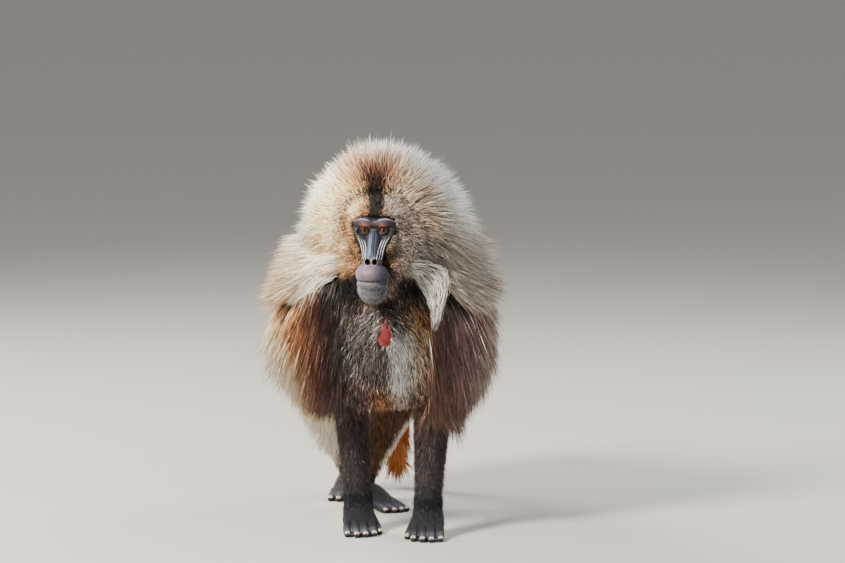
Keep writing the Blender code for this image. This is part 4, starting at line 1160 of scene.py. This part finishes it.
def growCoat(piece):
    # each hair follows its guide, its own root left behind as the lock gathers towards its tip
    draw = np.random.default_rng(piece["seed"])
    weight = piece["where"]
    count = int(piece["count"] * (1))
    roots, outs = scatter(weight, count, draw)
    guideSpots, guideOuts = scatter(weight, piece["guides"], draw)
    guides, guideLength = layGuides(piece, guideSpots, guideOuts, draw)
    chosen = np.empty(count, int)
    for start in range(0, count, hairs["atOnce"]):
        some = slice(start, start + hairs["atOnce"])
        apart = ((roots[some, None] - guideSpots[None]) ** 2).sum(axis=2)
        chosen[some] = np.argmin(apart, axis=1)
    share = np.linspace(0, 1, piece["steps"] + 1)
    own = piece["length"](roots) / guideLength[chosen] * draw.uniform(*hairs["length"], count)
    moved = (guides[chosen] - guideSpots[chosen][:, None]) * own[:, None, None]
    aside = (roots - guideSpots[chosen])[:, None] * (1 - piece["clump"] * share**1.2)[None, :, None]
    wander = draw.normal(0, piece["wander"], (count, 1, 3))
    wander = wander * (share**1.5)[None, :, None] * own[:, None, None]
    spine = guideSpots[chosen][:, None] + moved + aside + wander
    spine[:, 0] -= outs * piece["sink"]
    spine[:, 1:, 2] = np.maximum(spine[:, 1:, 2], hairs["lowest"])
    width = piece["width"] * draw.uniform(*hairs["width"], count)
    spots, faces, each, where = strandMesh(spine, outs, width)
    # colour along the hair: painted shade darkening it towards its root, its marking, pale tip, and each
    # hair and lock a little its own
    astray = draw.normal(0, piece["blur"], (count, 3))
    astray = astray + draw.normal(0, piece["lockBlur"], (len(guides), 3))[chosen]
    flat = spots + np.repeat(astray, each, axis=0)
    near = {name: np.repeat(mask, each) for name, mask in regions(roots).items()}
    if "tone" in piece:
        tint = np.repeat(colour(*piece["tone"])[None], len(flat), 0)
    else:
        tint = coatColour(flat, near)
    tint = tint.reshape(count, each, 3)
    # painted shade: each hair darker towards its root, where the coat over it would shade it
    foot = 1 - piece["foot"] * fade(0.75, 0.0, where)
    tip = piece["tip"] * fade(0.35, 1.0, where)
    lock = np.exp(draw.normal(0, piece["lockVary"], len(guides)))[chosen]
    hair = np.exp(draw.normal(0, piece["hairVary"], count)) * lock
    hair = hair * np.where(draw.random(count) < piece["grizzle"], hairs["darkHair"], 1.0)
    tint = tint * foot[None, :, None] * hair[:, None, None]
    paler = np.minimum(tint * hairs["tipGain"] + piece["frost"], 1.0)
    tint = tint + (paler - tint) * tip[None, :, None]
    warm = draw.normal(0, hairs["warmth"], (count, 1, 1)) * np.array([1.0, 0.1, -0.9])
    tint = np.clip(tint * (1 + warm), 0.002, 0.95).reshape(-1, 3)
    made = newPiece(piece["name"], spots, faces)
    giveColour(made, "coatTone", tint)
    bakeLayer(made, unwrap(roots, piece["unwrap"]), where, faces)
    made.data.materials.append(piece["material"])
    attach(made, "root")
    print(piece["name"], count, "hairs", len(faces), "triangles")
    return made


def steady(value):
    return lambda spots: np.full(len(spots), float(value))


def maneAway(spots):
    return np.hypot(spots[:, 0] - faceAxis[0], spots[:, 2] - faceAxis[2])


# Lengths of the hair, how upright it is and how high it lies, in metres at each spot
def nearLength(spots):
    edge = np.maximum(faceEdge(toFace(spots)), 0) * 0.001
    return 0.0065 + 0.020 * fade(0.0, 0.045, edge)


def farLength(spots):
    # shorter at the upper left and right, low on its right and on the crown, longer back and at the cheeks
    rel = (spots - faceAxis) / maneAway(spots)[:, None]
    upLeft = np.exp(-(np.hypot(rel[:, 0] + 0.62, rel[:, 2] - 0.78) / 0.42) ** 2)
    upRight = np.exp(-(np.hypot(rel[:, 0] - 0.66, rel[:, 2] - 0.74) / 0.42) ** 2)
    low = fade(-0.75, -0.95, rel[:, 0]) * fade(0.10, -0.25, rel[:, 2])
    top = fade(0.70, 0.95, rel[:, 2])
    long = 0.036 + 0.042 * fade(0.070, 0.115, maneAway(spots))
    long = long - 0.018 * upLeft - 0.014 * upRight - 0.012 * low - 0.013 * top
    cheek = np.exp(-((spots[:, 2] - 0.548) / 0.030) ** 2) * fade(0.070, 0.100, np.abs(spots[:, 0] + 0.018))
    return long + 0.012 * fade(0.02, 0.08, spots[:, 1]) + 0.032 * cheek


def farStand(spots):
    back = fade(0.01, 0.08, spots[:, 1])
    return 0.62 * (1 - back) + 0.20 * back


def capeLift(spots):
    x, y, z = spots.T
    free = np.maximum.reduce([fade(0.44, 0.33, z), fade(0.115, 0.160, np.abs(x)), fade(-0.04, 0.03, y)])
    full = fade(-0.110, -0.150, x) * fade(0.28, 0.32, z) * fade(0.45, 0.41, z)
    return 0.010 + 0.024 * free + 0.014 * full


def capeLength(spots):
    x, y, z = spots.T
    hip = fade(-0.050, -0.080, x) * fade(0.37, 0.30, z)
    edge = fade(0.145, 0.175, -x) * fade(0.41, 0.34, z)
    return 0.085 + 0.030 * fade(0.45, 0.35, z) - 0.012 * fade(0.34, 0.29, z) - 0.030 * (hip + edge)


def chestLength(spots):
    z = spots[:, 2]
    return 0.019 - 0.005 * fade(0.42, 0.46, z) - 0.011 * fade(0.290, 0.250, z)


def underBelly(spots):
    # 1 under the belly and between and behind the thighs, where the hair is short
    x, y, z = spots.T
    under = fade(0.325, 0.285, z) * fade(0.135, 0.105, np.abs(x))
    thigh = np.minimum(lineDistance(spots, legLines[-1][:14]), lineDistance(spots, legLines[1][:14]))
    return np.maximum(under, fade(0.105, 0.080, thigh) * fade(0.36, 0.32, z))


def backLength(spots):
    under = underBelly(spots)
    return (0.085 - 0.035 * fade(0.30, 0.45, spots[:, 1])) * (1 - under) + 0.026 * under


def backLift(spots):
    return 0.022 - 0.017 * underBelly(spots)


def legLength(spots):
    x, y, z = spots.T
    outer = fade(-0.06, -0.09, x) * (0.008 + 0.022 * fade(0.09, 0.14, z))
    return 0.013 + 0.018 * fade(0.10, 0.24, z) + outer


def legLift(spots):
    return 0.005 + 0.022 * fade(-0.085, -0.115, spots[:, 0]) * fade(0.085, 0.130, spots[:, 2])


def armLength(spots):
    return 0.009 + 0.016 * fade(0.08, 0.22, spots[:, 2])


def pawLength(spots):
    return 0.0026 + 0.0094 * fade(0.020, 0.070, spots[:, 2])


def tailLength(spots):
    return 0.022 + 0.046 * fade(0.20, 0.15, spots[:, 2])


def tailLift(spots):
    return 0.006 + 0.014 * fade(0.20, 0.15, spots[:, 2])


def chinFlow(spots):
    return rowsOf(spots[:, 0] + 0.018, -0.01, -0.02)


def pawFlow(spots):
    # towards the fingers on the hands and toes on the feet, which all point ahead and down
    aside = np.where((spots[:, 1] > 0.15) & (spots[:, 0] > -0.05), 0.55, 0.0)
    return rowsOf(aside, -1.0, -0.7)


# What the coats share: lengths in metres, shares from 0 to 1, and how much brightness varies
coatBase = {
    "steps": 2, "droop": 0.1, "sink": 0.0015, "blur": 0.003, "lockBlur": 0.002, "flow": flowAt,
    # the share by which each hair is darker at its root is painted shade
    "foot": 0.40, "frost": 0.012, "grizzle": 0.0, "unwrap": "upright", "parts": 1,
}
coats = {
    "maneNear": {
        "count": 32000, "guides": 6500, "steps": 1, "length": nearLength, "stand": steady(0.62),
        "lift": steady(0.010), "droop": 0.08, "stray": 0.05, "clump": 0.0, "wander": 0.0040,
        "sink": 0.002, "width": 0.0017, "lockBlur": 0.001, "foot": 0.80, "tip": 0.40, "lockVary": 0.04,
        "hairVary": 0.90, "grizzle": 0.14, "frost": 0.004, "flow": nearFlow, "unwrap": "dome",
        "slot": "mane", "finish": (0.66, 420.0),
    },
    "mane": {
        "count": 19000, "guides": 3000, "length": farLength, "stand": farStand, "lift": steady(0.032),
        "droop": 0.28, "stray": 0.08, "clump": 0.18, "wander": 0.005, "sink": 0.003, "width": 0.0012,
        "blur": 0.005, "lockBlur": 0.004, "foot": 0.34, "tip": 0.30, "lockVary": 0.14, "hairVary": 0.55,
        "grizzle": 0.07, "frost": 0.006, "unwrap": "dome", "slot": "mane", "finish": (0.60, 260.0),
        "parts": 2,
    },
    "cape": {
        "count": 14500, "guides": 1600, "length": capeLength, "stand": steady(0.12), "lift": capeLift,
        "droop": 0.25, "stray": 0.07, "clump": 0.36, "wander": 0.005, "sink": 0.003, "width": 0.0013,
        "blur": 0.006, "lockBlur": 0.007, "foot": 0.42, "tip": 0.38, "lockVary": 0.24, "hairVary": 0.72,
        "slot": "cape", "finish": (0.46, 60.0), "parts": 2,
    },
    "chest": {
        "count": 23000, "guides": 4000, "steps": 1, "length": chestLength, "stand": steady(0.36),
        "lift": steady(0.009), "stray": 0.10, "clump": 0.12, "wander": 0.0036, "sink": 0.002,
        "width": 0.0018, "blur": 0.004, "lockBlur": 0.004, "tip": 0.55, "lockVary": 0.26,
        "hairVary": 1.00, "grizzle": 0.24, "slot": "chest_hair", "finish": (0.62, 420.0),
    },
    "back": {
        "count": 11000, "guides": 1200, "length": backLength, "stand": steady(0.12), "lift": backLift,
        "droop": 0.2, "stray": 0.10, "clump": 0.52, "wander": 0.005, "sink": 0.003, "width": 0.0019,
        "blur": 0.006, "lockBlur": 0.010, "foot": 0.50, "tip": 0.28, "lockVary": 0.24, "hairVary": 0.34,
        "unwrap": "trunk", "slot": "flank", "finish": (0.52, 60.0),
    },
    "legs": {
        "count": 14000, "guides": 2000, "length": legLength, "stand": steady(0.20), "lift": legLift,
        "droop": 0.15, "stray": 0.12, "clump": 0.30, "wander": 0.002, "width": 0.0014, "foot": 0.12,
        "tip": 0.45, "lockVary": 0.14, "hairVary": 0.42, "slot": "leg_coat", "finish": (0.60, 90.0),
    },
    "arms": {
        "count": 22000, "guides": 3200, "steps": 1, "length": armLength, "stand": steady(0.10),
        "lift": steady(0.004), "droop": 0.05, "stray": 0.14, "clump": 0.25, "wander": 0.002,
        "width": 0.0011, "blur": 0.002, "foot": 0.60, "tip": 0.60, "lockVary": 0.22, "hairVary": 0.80,
        "slot": "dark_coat", "finish": (0.52, 110.0),
    },
    "paws": {
        "count": 12000, "guides": 2400, "steps": 1, "length": pawLength, "stand": steady(0.08),
        "lift": steady(0.0010), "droop": 0.0, "stray": 0.10, "clump": 0.15, "wander": 0.0005,
        "sink": 0.001, "width": 0.0008, "blur": 0.002, "tip": 0.24, "lockVary": 0.12, "hairVary": 0.45,
        "flow": pawFlow, "slot": "dark_coat", "finish": (0.55, 110.0),
    },
    "tail": {
        "count": 5000, "guides": 600, "length": tailLength, "stand": steady(0.12), "lift": tailLift,
        "stray": 0.16, "clump": 0.40, "wander": 0.003, "width": 0.0015, "tip": 0.25, "lockVary": 0.18,
        "hairVary": 0.50, "slot": "tuft", "finish": (0.55, 90.0),
    },
    "chin": {
        "count": 6000, "guides": 1500, "steps": 1, "length": steady(0.0024), "stand": steady(0.15),
        "lift": steady(0.0005), "droop": 0.0, "stray": 0.20, "clump": 0.10, "wander": 0.0004,
        "sink": 0.0006, "width": 0.00042, "blur": 0.001, "lockBlur": 0.001, "foot": 0.30, "tip": 0.30,
        "lockVary": 0.12, "hairVary": 0.42, "flow": chinFlow, "tone": (120, 118, 123), "unwrap": "dome",
        "slot": "bare_skin", "finish": (0.60, 110.0),
    },
}

middleX, middleY, middleZ = faceMiddle.T
tailFace = faceNear["tail"] > 0.5
legFace = (np.maximum(faceNear["legRight"], faceNear["legLeft"]) > 0.45) & ~tailFace
armFace = (faceNear["arm"] > 0.5) & ~legFace & ~tailFace
restFace = ~(tailFace | legFace | armFace)
maneFace = restFace & (faceNear["mane"] > 0.5)
nearFace = maneFace & (middleY < -0.030) & (maneAway(faceMiddle) < 0.088)
farFace = maneFace & ((maneAway(faceMiddle) > 0.078) | (middleY > -0.040))
chestFace = restFace & ~maneFace & (np.abs(middleX) < 0.076) & (middleY < 0.03)
chestFace |= restFace & ~maneFace & (faceNormal[:, 2] < -0.75) & (middleY < 0.16)
backFace = restFace & ~maneFace & ~chestFace & (middleY > 0.160)
capeFace = restFace & ~maneFace & ~chestFace & ~backFace
chinFace = (faceOutside < 1) * (faceNormal[:, 1] < 0.4)
chinHeight = np.maximum(fade(-86, -104, faceLocal[:, 2]), fade(-66, -76, faceLocal[:, 2]) * 0.12)
pawFace = (legFace | armFace) * (middleZ < 0.075) * fade(0.007, 0.028, middleZ)
# how thickly each coat grows on each face of the skin
hairy = {
    "maneNear": nearFace * np.where(faceOutside < 14, 2.2, 1.0),
    "mane": farFace * np.where(middleY < 0.02, 1.4, 0.9),
    "cape": capeFace * np.where(middleY < 0.02, 1.5, 0.8),
    "chest": chestFace * np.where(middleY < 0.02, 1.4, 0.7),
    "back": backFace * 1.0,
    "legs": legFace * (middleZ > 0.060),
    "arms": armFace * (middleZ > 0.060),
    "paws": pawFace * (faceNormal[:, 2] > -0.45),
    "tail": tailFace * np.where(middleZ < 0.16, 3.0, 1.0),
    "chin": chinFace * chinHeight,
}
for number, (key, own) in enumerate(coats.items()):
    piece = {**coatBase, **own, "material": coatMaterial(key + "Hair", *own["finish"])}
    piece["where"] = hairy[key] * (furFree if key != "chin" else 1.0)
    for part in range(piece["parts"]):
        growCoat({**piece, "name": key + "Coat" + "AB"[part], "seed": 100 + 10 * number + part})


# The whiskers that sweep down from the cheeks: strands between an inner and an outer path, seen from ahead
whiskers = {
    "right": {
        "inner": [(-0.056, 0.492), (-0.087, 0.480), (-0.112, 0.463), (-0.138, 0.442), (-0.170, 0.420)],
        "outer": [(-0.060, 0.518), (-0.098, 0.512), (-0.132, 0.490), (-0.158, 0.456), (-0.173, 0.420)],
        "tones": ((255, 250, 236), (206, 170, 130)), "strands": 1100, "ragged": 0.0042, "dark": 0.26,
        "locks": 14, "height": (0.026, 0.024, 0.020),
    },
    "left": {
        "inner": [(0.026, 0.492), (0.046, 0.480), (0.063, 0.460), (0.079, 0.430),
                  (0.0865, 0.405), (0.0885, 0.378)],
        "outer": [(0.038, 0.504), (0.074, 0.500), (0.106, 0.485), (0.113, 0.457),
                  (0.102, 0.420), (0.0910, 0.378)],
        # the near-black tone stands for painted shade in the gaps of this lock, on the side away from the
        # light
        "tones": ((250, 244, 232), (34, 26, 25)), "strands": 900, "ragged": 0.0022, "dark": 0.48,
        "locks": 9, "height": (0.034, 0.030, 0.018),
    },
    "rings": 4, "width": 0.00130, "shortest": 0.30, "seed": 71, "stations": 25,
}


def whiskerSpines(side, draw):
    # each strand runs between the two paths, from its own start to its own end along them
    count = int(side["strands"] * (1))
    edges = [[((x, 0, z), 0, 0) for x, z in side[word]] for word in ("inner", "outer")]
    paths = [smoothPath(edge, 8)[:, :3] for edge in edges]
    across = np.floor(draw.random(count) * side["locks"]) + 0.5 + draw.normal(0, 0.17, count)
    across = across / side["locks"]
    start = draw.uniform(0, 1 - whiskers["shortest"], count)
    end = np.minimum(start + draw.uniform(whiskers["shortest"], 0.80, count), 1.0)
    share = start[:, None] + (end - start)[:, None] * np.linspace(0, 1, whiskers["rings"] + 1)[None]
    at = np.linspace(0, 1, len(paths[0]))
    inner, outer = [np.stack([np.interp(share, at, path[:, k]) for k in range(3)], -1) for path in paths]
    spines = inner + (outer - inner) * across[:, None, None]
    stations, middle = np.linspace(0, 1, whiskers["stations"]), (paths[0] + paths[1]) / 2
    depth = []
    for x, z in zip(np.interp(stations, at, middle[:, 0]), np.interp(stations, at, middle[:, 2])):
        hit = skinTree.ray_cast(Vector((x, -0.5, z)), Vector((0, 1, 0)))[0]
        depth.append(hit.y if hit is not None else depth[-1] + 0.004)
    depth = np.convolve(np.pad(depth, 3, mode="edge"), np.ones(7) / 7, mode="valid")
    depth = depth - np.interp(stations, [0, 0.5, 1], side["height"])
    spines[..., 1] = np.interp(share, stations, depth)
    spines[:, 0, 1] += 0.018
    spines += draw.normal(0, side["ragged"], (count, 1, 3)) * np.array([1, 0.6, 1])
    spines[:, 1:] += draw.normal(0, 0.0015, (count, whiskers["rings"], 3))
    return spines, across


draw = np.random.default_rng(whiskers["seed"])
spines, shades = [], []
for word in ("right", "left"):
    side = whiskers[word]
    made, across = whiskerSpines(side, draw)
    pale, dark = [colour(*values) for values in side["tones"]]
    share = np.clip(draw.normal(side["dark"], 0.40, len(made)), 0, 1)[:, None] ** 1.5
    spines.append(made)
    shades.append(pale * (1 - share) + dark * share)
spines, shades = np.vstack(spines), np.vstack(shades)
spots, faces, each, where = strandMesh(spines, np.repeat([[0.0, -1.0, 0.3]], len(spines), 0),
                                       whiskers["width"] * draw.uniform(0.6, 1.3, len(spines)))
piece = newPiece("whiskers", spots, faces)
shade = shades[:, None] * (0.62 + 0.45 * fade(0.0, 0.5, where))[None, :, None]
shade = np.clip(shade, 0, 0.98).reshape(-1, 3)
inmost = fade(0.052, 0.026, -spots[:, 0] - 0.050) * (spots[:, 0] < 0)
shade = blend(shade, tones["goldDark"], inmost * 0.85)
giveColour(piece, "coatTone", shade)
bakeLayer(piece, unwrap(spines[:, 0], "dome"), where, faces)
piece.data.materials.append(coatMaterial("whiskerHair", 0.5, 60.0))
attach(piece, "root")
print("whiskers", len(faces), "triangles")


# The eyes: a ball with an amber iris and a dark pupil that look ahead
eyes = {
    "gaze": (0.06, -1.0, -0.05),
    "cornea": 5.6,
    "bulge": 0.045,
    "reach": 10.0,
    "stops": [(0.0, (2, 1, 1)), (0.27, (3, 2, 2)), (0.31, (60, 22, 8)), (0.41, (122, 60, 28)),
              (0.51, (92, 40, 20)), (0.58, (18, 8, 6)), (0.66, (26, 12, 10)), (1.0, (50, 30, 28))],
}
for side, word in ((-1, "right"), (1, "left")):
    centre = np.array([side * head["eyeApart"], 3.0, 0.0])
    spots, faces = ball((0, 0, 0), (head["eyeball"] - 0.05,) * 3, segments=48)
    gaze = unit(np.array(eyes["gaze"]))
    forward = unit(spots) @ gaze
    fromAxis = np.arccos(np.clip(forward, -1, 1)) * head["eyeball"]
    spots = spots * (1 + eyes["bulge"] * fade(eyes["cornea"], 0.0, fromAxis))[:, None]
    eye = newPiece("eye_ball_" + word, fromFace(spots + centre), faces)
    giveValue(eye, "fromAxis", fromAxis)
    material, tree, shader, coordinates = startMaterial("eye" + word.capitalize(), 0.30, 0.12)
    away = attributeOf(tree, "fromAxis").outputs["Fac"]
    ramp = tree.nodes.new("ShaderNodeValToRGB")
    while len(ramp.color_ramp.elements) < len(eyes["stops"]):
        ramp.color_ramp.elements.new(0.5)
    for element, (spot, values) in zip(ramp.color_ramp.elements, eyes["stops"]):
        element.position = spot
        element.color = (*colour(*values), 1)
    tree.links.new(calculate(tree, "DIVIDE", away, eyes["reach"]), ramp.inputs["Fac"])
    grained = addGroup(tree, mottle, Colour=ramp.outputs["Color"], Vector=coordinates,
                       Blot_Scale=500.0, Grain_Scale=2500.0, Amount=0.5)
    tree.links.new(grained.outputs["Colour"], shader.inputs["Base Color"])
    shader.inputs["Coat Weight"].default_value = 0.22
    shader.inputs["Coat Roughness"].default_value = 0.05
    eye.data.materials.append(material)
    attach(eye, "root")
    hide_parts("eye_" + word)
print("eyes done")


# Nails: curved plates on the last joint of every finger and toe, sized by the radius of the digit there
nail = {"rows": 7, "cols": 9, "bend": 58, "long": 1.15, "above": 1.07, "thick": 0.0007}


def nailPlate(tip, before, radius):
    # v runs along the digit and a round it: (sin a, v, cos a) with a from -58 to 58 degrees
    tip, before = np.array(tip), np.array(before)
    ahead = unit((tip - before) * np.array([1, 1, 0.4]))
    across = unit(np.cross(ahead, up))
    rise = np.cross(across, ahead)
    bend = np.radians(np.linspace(-nail["bend"], nail["bend"], nail["cols"]))
    v, a = np.meshgrid(np.linspace(0, 1, nail["rows"]), bend, indexing="ij")
    narrow = np.sqrt(np.clip(1 - (v * 0.92) ** 2 * 0.55, 0, 1))
    long = radius * nail["long"]
    outer = radius * nail["above"] * narrow
    inner = outer - nail["thick"]

    def sheet(size):
        along = ahead * (v * long - radius * 0.15)[..., None]
        aside = across * (np.sin(a) * size * 0.92)[..., None]
        return tip + along + aside + rise * (np.cos(a) * size - 0.10 * radius * v)[..., None]

    rows, cols = v.shape
    spots = np.vstack([sheet(outer).reshape(-1, 3), sheet(inner).reshape(-1, 3)])
    row, col = np.mgrid[0:rows - 1, 0:cols - 1]
    p = (row * cols + col).ravel()
    top = [np.stack([p, p + 1, p + cols + 1], -1), np.stack([p, p + cols + 1, p + cols], -1)]
    top = np.concatenate(top)
    rim = np.concatenate([
        np.arange(cols),
        np.arange(1, rows) * cols + cols - 1,
        (rows - 1) * cols + np.arange(cols - 2, -1, -1),
        np.arange(rows - 2, 0, -1) * cols,
    ])
    after = np.roll(rim, -1)
    low = rows * cols
    wall = [np.stack([rim, rim + low, after + low], -1), np.stack([rim, after + low, after], -1)]
    faces = np.vstack([top, top[:, ::-1] + low, *wall])
    # the plate's volume is below 0 where its faces look inwards
    first, second, third = (spots[faces] - tip).transpose(1, 0, 2)
    volume = np.einsum("ij,ij->i", first, np.cross(second, third)).sum()
    return spots, faces if volume > 0 else faces[:, ::-1]


nails = newPiece("nails", *joined([nailPlate(*tip) for tip in tips]))
material, tree, shader, coordinates = startMaterial("nail", 0.35, 0.5)
horn = addGroup(tree, mottle, Vector=coordinates, Blot_Scale=300.0, Grain_Scale=1800.0, Amount=0.6)
horn.inputs["Colour"].default_value = (*colour(156, 144, 130), 1)
tree.links.new(horn.outputs["Colour"], shader.inputs["Base Color"])
nails.data.materials.append(material)
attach(nails, "root")
print("nails", len(nails.data.polygons), "faces")

# The floor, the light and the camera
stage = {"floor": (168, 164, 158), "sky": (0.84, 0.84, 0.84), "skyStrength": 0.66}
reach = 40.0
corners = np.array([(-reach, -reach, 0), (reach, -reach, 0), (reach, reach, 0), (-reach, reach, 0)])
floor = newPiece("floor", corners - shift, np.array([[0, 1, 2, 3]]), smooth=False)
material, tree, shader, coordinates = startMaterial("floor", 0.8, 0.3)
shader.inputs["Base Color"].default_value = (*colour(*stage["floor"]), 1)
floor.data.materials.append(material)

world = bpy.context.scene.world or bpy.data.worlds.new("studio")
bpy.context.scene.world = world
world.use_nodes = True
world.node_tree.nodes["Background"].inputs["Color"].default_value = (*stage["sky"], 1)
world.node_tree.nodes["Background"].inputs["Strength"].default_value = stage["skyStrength"]

lights = {
    "key": {"spot": (-2.2, -2.6, 2.6), "size": 1.1, "power": 600, "tint": (1.0, 0.94, 0.85)},
    "rim": {"spot": (-2.0, 2.2, 2.6), "size": 1.2, "power": 230, "tint": (1.0, 0.93, 0.84)},
    "fill": {"spot": (2.6, -1.8, 1.6), "size": 2.4, "power": 26, "tint": (0.88, 0.93, 1.0)},
    "backFill": {"spot": (2.2, 2.0, 2.2), "size": 1.6, "power": 110, "tint": (0.88, 0.94, 1.0)},
}
aim = Vector((0, 0.05, 0.40))
for name, values in lights.items():
    lamp = bpy.data.lights.new(name, "AREA")
    lamp.shape = "DISK"
    lamp.size = values["size"]
    lamp.energy = values["power"]
    lamp.color = values["tint"]
    placed = bpy.data.objects.new(name, lamp)
    placed.location = values["spot"]
    placed.rotation_euler = (aim - Vector(values["spot"])).to_track_quat("-Z", "Y").to_euler()
    bpy.context.scene.collection.objects.link(placed)

view = {"aim": (0.0675, 0.0, 0.4563), "away": 8.0, "elevation": 5.5, "lens": 189.3}
elevation = math.radians(view["elevation"])
aim = np.array(view["aim"]) + shift
spot = aim + view["away"] * np.array([0, -math.cos(elevation), math.sin(elevation)])
camera = bpy.data.objects.new("camera", bpy.data.cameras.new("camera"))
camera.location = spot
camera.rotation_euler = (Vector(aim) - Vector(spot)).to_track_quat("-Z", "Y").to_euler()
camera.data.lens = view["lens"]
camera.data.sensor_width = 36.0
bpy.context.scene.collection.objects.link(camera)
bpy.context.scene.camera = camera
